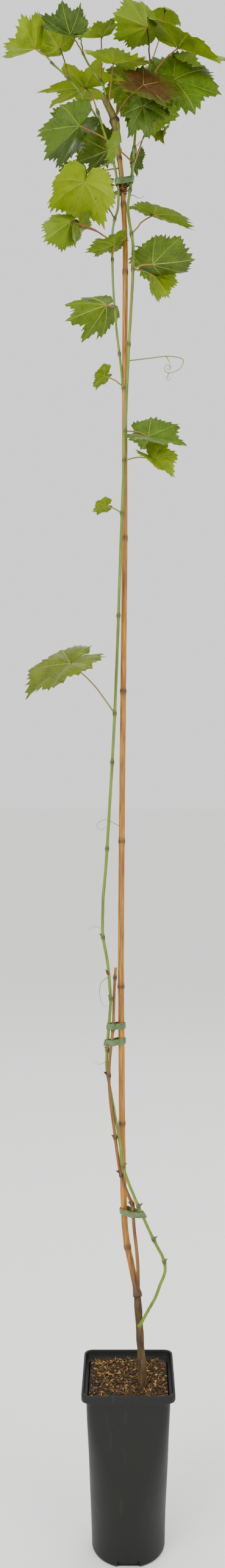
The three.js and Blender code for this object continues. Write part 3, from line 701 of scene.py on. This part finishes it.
def makePot(material):
    mesh = bmesh.new()
    newLayers(mesh)
    top, under = pot["height"], pot["height"] - pot["band"]
    rim, base = pot["rim"], pot["base"]
    outer = [(0, 0), (20, 0), (34, 0), (base - pot["round"], 0), (base - 1.3, 1.0), (base - 0.4, 2.4)]
    outer += [(wallHalf(h), h) for h in (4, 6.5, 9, 14, 20, 30, 42, 56, 72, 90, 108, 126, 144, 162, 178, 192,
                                         204, 213)]
    outer += [(wallHalf(under) + 0.3, under - 0.8), (wallHalf(under) + 1.2, under), (rim - 1.6, under),
              (rim - 0.4, under + 0.5), (rim, under + 1.8), (rim - 0.1, top - 2.4), (rim - 0.5, top - 0.7),
              (rim - 1.3, top), (rim - 2.2, top), (rim - 2.9, top - 0.6), (rim - 3.2, top - 2),
              (rim - 3.6, under + 1.8), (rim - 4.4, under + 0.6),
              (pot["mouth"] - pot["wall"] + 0.8, under - 0.4), (pot["mouth"] - pot["wall"] + 0.2, under - 1.4)]
    inner = [(wallHalf(h) - pot["wall"], h) for h in (212, 200, 180, 150, 110, 70, 40, 20, 8)]
    inner += [(base - 5, pot["floor"]), (20, pot["floor"]), (0, pot["floor"])]
    spinProfile(mesh, outer + inner, pot["turns"])
    for vert in mesh.verts:
        squareUp(vert)
        # the foot rim is cut back by a recess at the front and one at the back
        x, y, z = (c / mm for c in vert.co)
        deep = smooth((pot["notchWide"] / 2 + 0.8 - abs(x)) / 1.6) * (z < pot["notchHigh"] + 0.6)
        if deep > 0 and abs(y) > base - pot["notchDeep"]:
            back = (abs(y) - (base - pot["notchDeep"] + 0.5)) * deep * mm
            vert.co.y -= math.copysign(back, y)
        # moulded walls are never quite flat
        wave = noise.noise(Vector((x * 0.02, y * 0.02, z * 0.012))) * pot["wave"]
        wave *= smooth(z / 30) * smooth((214 - z) / 30)
        vert.co.x += wave * mm * math.copysign(min(1, abs(x) / 20), x)
        vert.co.y += wave * mm * math.copysign(min(1, abs(y) / 20), y)
    bmesh.ops.recalc_face_normals(mesh, faces=mesh.faces)
    for face in mesh.faces:
        face.smooth = True
    for edge in mesh.edges:
        if len(edge.link_faces) == 2 and edge.calc_face_angle(0) > math.radians(50):
            edge.smooth = False
    finishPiece("pot_shell", mesh, [material], ["pot"])


# level and kinds in millimetres; kinds: count, lengths, widths, thickness to width
compost = {"level": 219, "rings": 26, "turns": 96, "kinds": [
    (1500, (2.2, 8.0), (0.9, 2.6), 0.35),  # bark chips, short thick plates
    (1100, (5.0, 17.0), (0.35, 0.8), 0.6),  # fibres, thin and long
    (900, (0.8, 2.4), (0.7, 1.6), 0.8),  # grit, small lumps
]}


def compostHeight(x, y):
    # loose fill, lumpy away from the walls and heaped a little at the back wall; millimetres
    lump = noise.noise(Vector((x * 0.05, y * 0.05, 3))) * 2.4 + noise.noise(Vector((x * 0.2, y * 0.2, 7))) * 1.5
    back = 2.6 * smooth((y + 10) / 55)
    return compost["level"] - 0.6 + lump * smooth((51 - max(abs(x), abs(y))) / 6) + back


def makeCompost(soil, chipFinish):
    mesh = bmesh.new()
    newLayers(mesh)
    edge = wallHalf(compost["level"]) - pot["wall"] - 0.7
    profile = [(0, 6)] + [(edge * (0.86 + 0.002 * k), 6 + 40 * k) for k in range(5)]
    profile += [(edge * (1 - i / compost["rings"]), compost["level"]) for i in range(compost["rings"] + 1)]
    spinProfile(mesh, profile, compost["turns"])
    for vert in mesh.verts:
        top = vert.co.z > 0.2
        squareUp(vert)
        x, y = vert.co.x / mm, vert.co.y / mm
        if top:
            vert.co.z = compostHeight(x, y) * mm
    bmesh.ops.recalc_face_normals(mesh, faces=mesh.faces)
    for face in mesh.faces:
        face.smooth = True
    finishPiece("compost_body", mesh, [soil], ["soil"])

    mesh = bmesh.new()
    tintLayer = newLayers(mesh)[1]
    inside = wallHalf(compost["level"]) - pot["wall"] - 3.5
    for count, lengths, widths, flat in compost["kinds"]:
        for _ in range(count):
            x, y = dice.uniform(-inside, inside), dice.uniform(-inside, inside)
            long, wide = dice.uniform(*lengths), dice.uniform(*widths)
            if abs(x) > inside - 8 and abs(y) > inside - 8:
                x *= 0.85
            tint = 0.92 * dice.random() ** 2.4
            lift = dice.uniform(-0.6, 1.4)
            place = Matrix.Translation(Vector((x, y, compostHeight(x, y) + lift)) * mm)
            place @= Matrix.Rotation(dice.uniform(0, 2 * math.pi), 4, "Z")
            place @= Matrix.Rotation(dice.gauss(0, 0.32), 4, "Y") @ Matrix.Rotation(dice.gauss(0, 0.5), 4, "X")
            sized = Matrix.Diagonal((long * mm, wide * mm, wide * flat * mm, 1))
            verts = bmesh.ops.create_cube(mesh, size=1.0)["verts"]
            for vert in verts:
                # ends narrowed and skewed so that no two pieces match
                if vert.co.x > 0:
                    vert.co.y *= dice.uniform(0.1, 0.9)
                    vert.co.z *= dice.uniform(0.3, 1.0)
                vert.co.y += dice.uniform(-0.25, 0.25)
                vert[tintLayer] = tint
            bmesh.ops.transform(mesh, matrix=place @ sized, verts=verts)
    for vert in mesh.verts:
        limit = (inside + 2.6) * mm
        vert.co.x = min(limit, max(-limit, vert.co.x))
        vert.co.y = min(limit, max(-limit, vert.co.y))
    bmesh.ops.recalc_face_normals(mesh, faces=mesh.faces)
    print("compost bits:", len(mesh.faces) * 2)
    finishPiece("compost_bits", mesh, [chipFinish], [])


def makeTies(material):
    # plastic tape from the CAD bands: split fine, edges rounded, lightly crinkled
    for name in ("tie_top", "tie_upper", "tie_middle", "tie_lower"):
        mesh = bmesh.new()
        mesh.from_mesh(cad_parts[name].data)
        newLayers(mesh)
        bmesh.ops.remove_doubles(mesh, verts=mesh.verts, dist=1e-5)
        bmesh.ops.dissolve_limit(mesh, angle_limit=math.radians(4), verts=mesh.verts, edges=mesh.edges)
        sharp = [e for e in mesh.edges if e.calc_face_angle(0) > math.radians(60)]
        bmesh.ops.bevel(mesh, geom=sharp, offset=0.22 * mm, segments=1, profile=0.5, affect="EDGES", material=-1)
        bmesh.ops.triangulate(mesh, faces=mesh.faces)
        longEdges = [e for e in mesh.edges if e.calc_length() > 3 * mm]
        bmesh.ops.subdivide_edges(mesh, edges=longEdges, cuts=2, use_grid_fill=True)
        seed = dice.uniform(0, 30)
        for vert in mesh.verts:
            crinkle = noise.noise(vert.co * 260 + Vector((seed, 0, 0))) * 0.1
            vert.co += Vector((vert.normal.x, vert.normal.y, 0)) * crinkle * mm
            vert.co.z += noise.noise(Vector((vert.co.x * 120, seed, vert.co.y * 120))) * 0.3 * mm
        bmesh.ops.recalc_face_normals(mesh, faces=mesh.faces)
        for face in mesh.faces:
            face.smooth = True
        finishPiece(name + "_tape", mesh, [material], [name])


# thin dry or green tendrils: a line in millimetres, radius at foot, share of brown
tendrils = [
    ([(9, -8, 1578), (30, -9, 1582), (50, -10, 1584), (66, -9, 1583), (73, -8, 1579), (70, -8, 1570),
      (62, -7, 1565), (54, -7, 1563), (49, -8, 1565), (48, -9, 1569), (51, -9, 1573), (55, -8, 1571),
      (54, -8, 1567), (51, -8, 1568)], 0.85, 0.1),
    ([(50, -10, 1584), (54, -10, 1577), (56, -10, 1570), (55, -10, 1565)], 0.6, 0.1),
    ([(54, -7, 1563), (52, -7, 1559), (51, -6, 1556), (53, -6, 1553), (56, -7, 1555), (54, -7, 1558)], 0.55, 0.2),
    ([(-31, -7, 760), (-36, -8, 752), (-38, -8, 742), (-37, -7, 730), (-33, -6, 721), (-28, -6, 719)], 0.55, 0.1),
    ([(-36, -6, 823), (-44, -7, 826), (-50, -8, 824), (-55, -8, 820)], 0.35, 0.55),
    ([(-34, -7, 645), (-39, -8, 643), (-43, -9, 647), (-46, -9, 646)], 0.35, 0.5),
    ([(-14, -2, 958), (-28, -6, 968), (-38, -8, 966), (-42, -8, 960), (-36, -7, 955), (-30, -7, 959)], 0.55, 0.3),
    ([(2, -4, 1800), (8, -10, 1797), (14, -14, 1792), (21, -16, 1793)], 0.55, 0.9),
    ([(-45, -3, 1925), (-50, -6, 1927), (-54, -7, 1926)], 0.4, 0.8),
    ([(8, -7, 1862), (22, -12, 1874), (32, -14, 1884), (37, -14, 1890)], 0.6, 0.3),
    ([(18, -4, 1904), (34, -8, 1898), (44, -10, 1888), (47, -11, 1880)], 0.7, 0.5),
    ([(22, -5, 1935), (30, -12, 1925), (32, -15, 1912), (30, -16, 1903)], 0.6, 0.2),
]

forks = ((50, -10, 1584), (54, -7, 1563))  # these start on another tendril, not on a stem

# buds and stubs on the stems: foot, tip, thickness in millimetres, share of brown
buds = [
    ((-28.0, -5, 762), (-31.5, -8, 768), 2.0, 1.0), ((-18, -4, 692), (-15, -7, 697), 1.5, 1.0),
    ((-30, -4, 628), (-34, -6, 631), 1.8, 1.0), ((-22, -6, 546), (-26, -9, 549), 1.7, 1.0),
    ((-15, -6, 498), (-20, -8, 501), 1.9, 1.0), ((2, -8, 458), (-2, -11, 460), 1.6, 1.0),
    ((13, -12, 457), (18, -14, 461), 1.7, 0.8), ((33, -14, 414), (37, -15, 418), 1.6, 0.8),
    ((50, -16, 385), (54, -17, 389), 1.6, 0.8), ((-9, -10, 509), (-5, -13, 513), 1.5, 0.8),
    ((-32, -6, 661), (-35, -8, 665), 1.6, 0.8), ((-36, -6, 812), (-40, -8, 816), 1.6, 0.8),
    ((-26, -6, 731), (-29, -8, 735), 1.4, 0.8),
]


def makeGrowths(finish):
    mesh = bmesh.new()
    newLayers(mesh)
    for line, radius, brown in tendrils:
        points = [Vector(p) * mm for p in line]
        root = rootOn(points[0])
        if (root - points[0]).length < 25 * mm and line[0] not in forks:
            points[0] = root
        count = 12 + 7 * len(points)
        curve = smoothLine(points, count)
        radii = [(radius * (1 - 0.55 * i / count) + (0.5 * math.exp(-i / 2.0))) * mm for i in range(count)]
        sweepTube(mesh, curve, radii, 6, [brown] * count)
    for foot, tip, thick, brown in buds:
        foot, tip = Vector(foot) * mm, Vector(tip) * mm
        root = rootOn(foot)
        tip = root + (tip - foot) * 1.3
        curve = smoothLine([root, root.lerp(tip, 0.5), tip], 9)
        shape = (0.9, 1.0, 1.05, 1.0, 0.9, 0.76, 0.56, 0.34, 0.1)
        sweepTube(mesh, curve, [thick * share * mm for share in shape], 8, [brown] * 9)
    # knotted leaf scars packed under the crown's tie
    for _ in range(16):
        angle, height = dice.uniform(0, 2 * math.pi), dice.uniform(1801, 1812) * mm
        axis = min(centreLines["main_cane"], key=lambda p: abs(p.z - height))
        root = Vector((axis.x, axis.y, height))
        out = Vector((math.cos(angle), math.sin(angle), dice.uniform(-0.3, 0.5)))
        curve = smoothLine([root, root + out * 3 * mm, root + out * dice.uniform(6, 8.5) * mm], 6)
        sweepTube(mesh, curve, [dice.uniform(1.4, 2.3) * share * mm for share in (1, 1, 1, 0.95, 0.7, 0.3)], 7,
                  [dice.uniform(0.75, 1.0)] * 6)
    finishPiece("tendrils_and_buds", mesh, [finish], [])


# sums done by the leaf skin: name, operation, terms; x and y are shares of the leaf's length
leafSums = (
    ("side", "ABSOLUTE", "y"),
    ("angle", "ARCTAN2", "side", "x"),
    ("xSquare", "MULTIPLY", "x", "x"),
    ("squares", "MULTIPLY_ADD", "side", "side", "xSquare"),
    ("radius", "SQRT", "squares"),
    # the nearest of the five main veins, at 0, 48 and 100 degrees
    ("second", "GREATER_THAN", "angle", math.radians(24)),
    ("third", "GREATER_THAN", "angle", math.radians(74)),
    ("secondTurn", "MULTIPLY", "second", math.radians(48)),
    ("veinTurn", "MULTIPLY_ADD", "third", math.radians(52), "secondTurn"),
    ("away", "SUBTRACT", "angle", "veinTurn"),
    ("cosine", "COSINE", "away"),
    ("sine", "SINE", "away"),
    ("along", "MULTIPLY", "radius", "cosine"),
    ("across", "MULTIPLY", "radius", "sine"),
    ("aside", "ABSOLUTE", "across"),
    ("mainVein", "MULTIPLY_ADD", "aside", -1 / 0.016, 1.0),
    # side veins leave the main ones every eighth of the leaf, at about 50 degrees
    ("lag", "MULTIPLY_ADD", "aside", -0.8, "along"),
    ("step", "MULTIPLY_ADD", "lag", 1 / 0.125, 0.25),
    ("gap", "PINGPONG", "step", 0.5),
    ("sideVein", "MULTIPLY_ADD", "gap", -9.0, 1.0),
    ("fineVein", "MULTIPLY_ADD", "net", -9.0, 1.0),
    # the skin's tone, from blotches (partly mottling, partly painted patches of shadow and of light shining
    # through the leaf), the leaf's own tint and fine specks
    ("cloud", "MULTIPLY", "blotchAndPaintedLight", 1.2),
    ("lit", "MULTIPLY_ADD", "tint", 0.5, "cloud"),
    ("shade", "MULTIPLY_ADD", "speck", 0.25, "lit"),
    ("place", "SUBTRACT", "shade", 0.455),
    ("mainShare", "MULTIPLY", "mainVein", 0.9),
    ("sideShare", "MULTIPLY", "sideVein", 0.34),
    ("fineShare", "MULTIPLY", "fineVein", 0.14),
    ("smallShare", "MAXIMUM", "sideShare", "fineShare"),
    ("veinShare", "MAXIMUM", "mainShare", "smallShare"),
    ("ribs", "MULTIPLY_ADD", "sideVein", 0.8, "mainVein"),
    ("relief", "MULTIPLY_ADD", "fineVein", 0.35, "ribs"),
    ("ragged", "MULTIPLY_ADD", "blotchAndPaintedLight", 0.9, "radius"),
)


def leafMaterial(name, colours, rough, veinColour, under, rim=None):
    # grape leaf: soft waxy skin netted with sunken veins above, felted and ribbed underneath
    material, tree, surface = newMaterial(name)
    place = addNode(tree, "ShaderNodeAttribute", {"attribute_name": "place"}).outputs["Vector"]
    tint = addNode(tree, "ShaderNodeAttribute", {"attribute_name": "tint"})
    xyz = addNode(tree, "ShaderNodeSeparateXYZ", links={0: place})
    grown = addNode(tree, "ShaderNodeVectorMath", {"operation": "MULTIPLY", 1: (1.0, 1.0, 0.37)}, {0: place})
    # meshes of the net are about 4 mm wide on a leaf 70 mm long, blotches 22 mm, specks 2.3 mm; the blotches are
    # partly mottling and partly painted patches of shadow and light
    net = addNode(tree, "ShaderNodeTexVoronoi", {"feature": "DISTANCE_TO_EDGE", "Scale": 17.0},
                  {"Vector": grown.outputs[0]})
    blotchAndPaintedLight = addNode(tree, "ShaderNodeTexNoise", {"Scale": 3.2, "Detail": 4.0, "Roughness": 0.6},
                     {"Vector": grown.outputs[0]})
    speck = addNode(tree, "ShaderNodeTexNoise", {"Scale": 30.0, "Detail": 3.0}, {"Vector": grown.outputs[0]})
    found = {"x": xyz.outputs[0], "y": xyz.outputs[1], "net": net.outputs["Distance"],
             "blotchAndPaintedLight": blotchAndPaintedLight.outputs["Fac"], "speck": speck.outputs["Fac"], "tint": tint.outputs["Fac"]}
    sums = list(leafSums)
    if rim:
        sums.append(("rimShare", "MULTIPLY_ADD", "ragged", rim["sharp"], -(rim["from"] + 0.45) * rim["sharp"]))
    for result, operation, *terms in sums:
        settings = {i: term for i, term in enumerate(terms) if not isinstance(term, str)}
        settings |= {"operation": operation,
                     "use_clamp": result in ("mainVein", "sideVein", "fineVein", "rimShare")}
        sources = {i: found[term] for i, term in enumerate(terms) if isinstance(term, str)}
        found[result] = addNode(tree, "ShaderNodeMath", settings, sources).outputs[0]
    # the deep end of this ramp, where the blotches fall darkest, paints patches of shadow on the leaf
    stops = [(0.28, colours[0]), (0.78, colours[2]), (0.52, colours[1])]
    ramp = addNode(tree, "ShaderNodeValToRGB", {"stops": stops}, {"Fac": found["place"]})
    colour = addNode(tree, "ShaderNodeMix", {"data_type": "RGBA", 7: hexColour(veinColour)},
                     {"Factor": found["veinShare"], 6: ramp.outputs["Color"]})
    if rim:
        # the margin has another colour: dried brown, or still green round a bronzed middle
        colour = addNode(tree, "ShaderNodeMix", {"data_type": "RGBA", 7: hexColour(rim["colour"])},
                         {"Factor": found["rimShare"], 6: colour.outputs[2]})
    bump = addNode(tree, "ShaderNodeBump", {"Strength": 0.55 if under else 0.7, "Distance": 0.0006,
                                            "invert": not under}, {"Height": found["relief"]})
    setNode(tree, surface, {"Roughness": rough, "IOR": 1.45, "Specular IOR Level": 0.15 if under else 0.2},
            {"Base Color": colour.outputs[2], "Normal": bump.outputs["Normal"]})
    return material


def stemMaterial(name, colours, high, nodeColour, rough, grain):
    # stem skin: long fine grain, darker at the nodes
    material, tree, surface = newMaterial(name)
    spot = addNode(tree, "ShaderNodeTexCoord").outputs["Object"]
    stretch = addNode(tree, "ShaderNodeMapping", {"Scale": (1.0, 1.0, grain["stretch"])}, {"Vector": spot})
    long = addNode(tree, "ShaderNodeTexNoise", {"Scale": grain["scale"], "Detail": 6.0, "Roughness": 0.6},
                   {"Vector": stretch.outputs["Vector"]})
    ramp = addNode(tree, "ShaderNodeValToRGB", {"stops": [(0.36, colours[0]), (0.66, colours[1])]},
                   {"Fac": long.outputs["Fac"]})
    result = ramp.outputs["Color"]
    if high:
        # the ripe colour gives way to green higher up, unevenly
        cloud = addNode(tree, "ShaderNodeTexNoise", {"Scale": 26.0, "Detail": 3.0}, {"Vector": spot})
        height = addNode(tree, "ShaderNodeSeparateXYZ", links={0: spot})
        wobble = addNode(tree, "ShaderNodeMath", {"operation": "MULTIPLY_ADD", 1: 0.12},
                         {0: cloud.outputs["Fac"], 2: height.outputs[2]})
        share = addNode(tree, "ShaderNodeMapRange", {"From Min": high["from"], "From Max": high["to"]},
                        {"Value": wobble.outputs[0]})
        result = addNode(tree, "ShaderNodeMix", {"data_type": "RGBA", 7: hexColour(high["colour"])},
                         {"Factor": share.outputs[0], 6: result}).outputs[2]
    tint = addNode(tree, "ShaderNodeAttribute", {"attribute_name": "tint"})
    nodeShare = addNode(tree, "ShaderNodeMath", {"operation": "MULTIPLY", 1: 0.9}, {0: tint.outputs["Fac"]})
    joint = addNode(tree, "ShaderNodeMix", {"data_type": "RGBA", 7: hexColour(nodeColour)},
                    {"Factor": nodeShare.outputs[0], 6: result})
    bump = addNode(tree, "ShaderNodeBump", {"Strength": grain["bump"], "Distance": grain["deep"]},
                   {"Height": long.outputs["Fac"]})
    setNode(tree, surface, {"Roughness": rough, "IOR": 1.48},
            {"Base Color": joint.outputs[2], "Normal": bump.outputs["Normal"]})
    return material


def stalkMaterial(name, colours, rough):
    # leaf stalk: yellow-green through ochre to red-brown, by the stalk; mottled every 11 mm
    material, tree, surface = newMaterial(name)
    tint = addNode(tree, "ShaderNodeAttribute", {"attribute_name": "tint"})
    spot = addNode(tree, "ShaderNodeTexCoord").outputs["Object"]
    cloud = addNode(tree, "ShaderNodeTexNoise", {"Scale": 90.0, "Detail": 3.0}, {"Vector": spot})
    share = addNode(tree, "ShaderNodeMath", {"operation": "MULTIPLY_ADD", 1: 0.4},
                    {0: cloud.outputs["Fac"], 2: tint.outputs["Fac"]})
    share = addNode(tree, "ShaderNodeMath", {"operation": "SUBTRACT", 1: 0.2}, {0: share.outputs[0]})
    stops = [(0.0, colours[0]), (1.0, colours[2]), (0.5, colours[1])]
    ramp = addNode(tree, "ShaderNodeValToRGB", {"stops": stops}, {"Fac": share.outputs[0]})
    bump = addNode(tree, "ShaderNodeBump", {"Strength": 0.3, "Distance": 0.0003}, {"Height": cloud.outputs["Fac"]})
    setNode(tree, surface, {"Roughness": rough},
            {"Base Color": ramp.outputs["Color"], "Normal": bump.outputs["Normal"]})
    return material


def potMaterial():
    # black recycled moulding plastic: satin, dusty, with pale scuffs and a greenish cast in the light
    material, tree, surface = newMaterial("recycled black moulding plastic")
    spot = addNode(tree, "ShaderNodeTexCoord").outputs["Object"]
    # dust in patches of 45 mm, upright scuffs 6 mm wide, pits about every 10 mm, a moulded grain of 1 mm
    dust = addNode(tree, "ShaderNodeTexNoise", {"Scale": 22.0, "Detail": 6.0, "Roughness": 0.65}, {"Vector": spot})
    drag = addNode(tree, "ShaderNodeMapping", {"Scale": (1.0, 1.0, 0.12)}, {"Vector": spot})
    streak = addNode(tree, "ShaderNodeTexNoise", {"Scale": 160.0, "Detail": 4.0},
                     {"Vector": drag.outputs["Vector"]})
    ramp = addNode(tree, "ShaderNodeValToRGB", {"stops": [(0.35, "#080906"), (0.75, "#0f100b")]},
                   {"Fac": dust.outputs["Fac"]})
    speck = addNode(tree, "ShaderNodeTexVoronoi", {"Scale": 95.0, "Randomness": 1.0}, {"Vector": spot})
    dot = addNode(tree, "ShaderNodeMapRange", {"From Min": 0.055, "From Max": 0.03, "To Max": 0.5},
                  {"Value": speck.outputs["Distance"]})
    worn = addNode(tree, "ShaderNodeMapRange", {"From Min": 0.62, "From Max": 0.8, "To Max": 0.25},
                   {"Value": streak.outputs["Fac"]})
    both = addNode(tree, "ShaderNodeMath", {"operation": "MAXIMUM"}, {0: dot.outputs[0], 1: worn.outputs[0]})
    mixed = addNode(tree, "ShaderNodeMix", {"data_type": "RGBA", 7: hexColour("#33342a")},
                    {"Factor": both.outputs[0], 6: ramp.outputs["Color"]})
    rough = addNode(tree, "ShaderNodeMapRange", {"To Min": 0.42, "To Max": 0.68}, {"Value": dust.outputs["Fac"]})
    grain = addNode(tree, "ShaderNodeTexNoise", {"Scale": 900.0, "Detail": 3.0}, {"Vector": spot})
    bump = addNode(tree, "ShaderNodeBump", {"Strength": 0.16, "Distance": 0.0004},
                   {"Height": grain.outputs["Fac"]})
    setNode(tree, surface, {"IOR": 1.5, "Specular IOR Level": 0.3},
            {"Base Color": mixed.outputs[2], "Roughness": rough.outputs[0], "Normal": bump.outputs["Normal"]})
    return material


def compostMaterial(name, colours, scale):
    # damp peat and composted bark, from near black to straw
    material, tree, surface = newMaterial(name)
    spot = addNode(tree, "ShaderNodeTexCoord").outputs["Object"]
    tint = addNode(tree, "ShaderNodeAttribute", {"attribute_name": "tint"})
    crumb = addNode(tree, "ShaderNodeTexNoise", {"Scale": scale, "Detail": 6.0, "Roughness": 0.7},
                    {"Vector": spot})
    share = addNode(tree, "ShaderNodeMath", {"operation": "MULTIPLY_ADD", 1: 0.35},
                    {0: crumb.outputs["Fac"], 2: tint.outputs["Fac"]})
    stops = [(0.12, colours[0]), (1.0, colours[3]), (0.5, colours[1]), (0.88, colours[2])]
    ramp = addNode(tree, "ShaderNodeValToRGB", {"stops": stops}, {"Fac": share.outputs[0]})
    bump = addNode(tree, "ShaderNodeBump", {"Strength": 0.7, "Distance": 0.001}, {"Height": crumb.outputs["Fac"]})
    setNode(tree, surface, {"Roughness": 0.85},
            {"Base Color": ramp.outputs["Color"], "Normal": bump.outputs["Normal"]})
    return material


def tapeMaterial():
    # stretchy dull green tying tape with a soft sheen and level stretch lines 2 mm apart
    material, tree, surface = newMaterial("green tying tape")
    spot = addNode(tree, "ShaderNodeTexCoord").outputs["Object"]
    flat = addNode(tree, "ShaderNodeMapping", {"Scale": (0.3, 0.3, 1.0)}, {"Vector": spot})
    lines = addNode(tree, "ShaderNodeTexNoise", {"Scale": 520.0, "Detail": 4.0},
                    {"Vector": flat.outputs["Vector"]})
    ramp = addNode(tree, "ShaderNodeValToRGB", {"stops": [(0.3, "#374b20"), (0.72, "#5b7140")]},
                   {"Fac": lines.outputs["Fac"]})
    bump = addNode(tree, "ShaderNodeBump", {"Strength": 0.4, "Distance": 0.0003}, {"Height": lines.outputs["Fac"]})
    setNode(tree, surface, {"Roughness": 0.38, "IOR": 1.5},
            {"Base Color": ramp.outputs["Color"], "Normal": bump.outputs["Normal"]})
    return material


# fibres about 2.4 mm wide on the canes and 3.8 mm on the bark, drawn coarse enough to show
caneGrain = {"scale": 420.0, "stretch": 0.06, "bump": 0.5, "deep": 0.0004}
barkGrain = {"scale": 260.0, "stretch": 0.16, "bump": 1.0, "deep": 0.0016}
driedRim = {"from": 0.82, "sharp": 6.0, "colour": "#573a10"}
finishes = {
    "pale": [leafMaterial("pale leaf upper side", ("#566a06", "#6a7e08", "#7f930e"), 0.5, "#93a030", False),
             leafMaterial("pale leaf underside", ("#586c07", "#6d820a", "#829710"), 0.62, "#98a532", True)],
    "green": [leafMaterial("green leaf upper side", ("#38500a", "#48620c", "#5b7511"), 0.48, "#7c8e2c", False),
              leafMaterial("green leaf underside", ("#435808", "#536a0c", "#667c12"), 0.62, "#828f30", True)],
    "dark": [leafMaterial("dark leaf upper side", ("#263c08", "#344b0c", "#455c12"), 0.46, "#6c7e30", False),
             leafMaterial("dark leaf underside", ("#374a0a", "#45580e", "#556914"), 0.6, "#76843a", True)],
    "bronze": [leafMaterial("bronze leaf upper side", ("#3a1a07", "#452a0d", "#46380d"), 0.5, "#6d5c22", False,
                            {"from": 0.5, "sharp": 3.0, "colour": "#44540e"}),
               leafMaterial("bronze leaf underside", ("#4c460c", "#5c5c10", "#6b7616"), 0.6, "#85852c", True)],
    "scorched": [leafMaterial("scorched leaf upper side", ("#48560a", "#59680c", "#6a7610"), 0.5, "#82862c", False,
                              driedRim),
                 leafMaterial("scorched leaf underside", ("#4c5a08", "#5c6a0c", "#6c7812"), 0.62, "#82862e", True,
                              driedRim)],
    "vein": stalkMaterial("leaf rib", ("#94a63a", "#94913a", "#8a6c30"), 0.5),
    "stalk": stalkMaterial("leaf stalk skin", ("#617a0a", "#8a6014", "#451c0c"), 0.45),
    "bark": stemMaterial("fissured vine bark", ("#1f140a", "#5c4420"), None, "#4a3520", 0.85, barkGrain),
    "stub": stemMaterial("green-brown spur", ("#3e3210", "#6c6618"), None, "#1e140a", 0.7, barkGrain),
    "cane": stemMaterial("ripened cane", ("#6f4004", "#b27905"), {"from": 1.83, "to": 1.95, "colour": "#746a12"},
                         "#2c1908", 0.5, caneGrain),
    "ripe": stemMaterial("ripe brown shoot", ("#553004", "#95600a"), None, "#221205", 0.5, caneGrain),
    "shoot": stemMaterial("green shoot", ("#465c05", "#6f860b"), None, "#3a2e0a", 0.45, caneGrain),
}

makePot(potMaterial())
makeCompost(compostMaterial("damp peat", ("#120c07", "#24170c", "#33210f", "#3f2a14"), 160.0),
            compostMaterial("composted bark chips", ("#1d1209", "#4a3210", "#8a6426", "#c79a45"), 420.0))
makeTies(tapeMaterial())
print("pot ready")
makeGrowths(finishes["stalk"])
makeStems(finishes)
print("stems ready")
makeLeaves(finishes)
print("leaves ready")
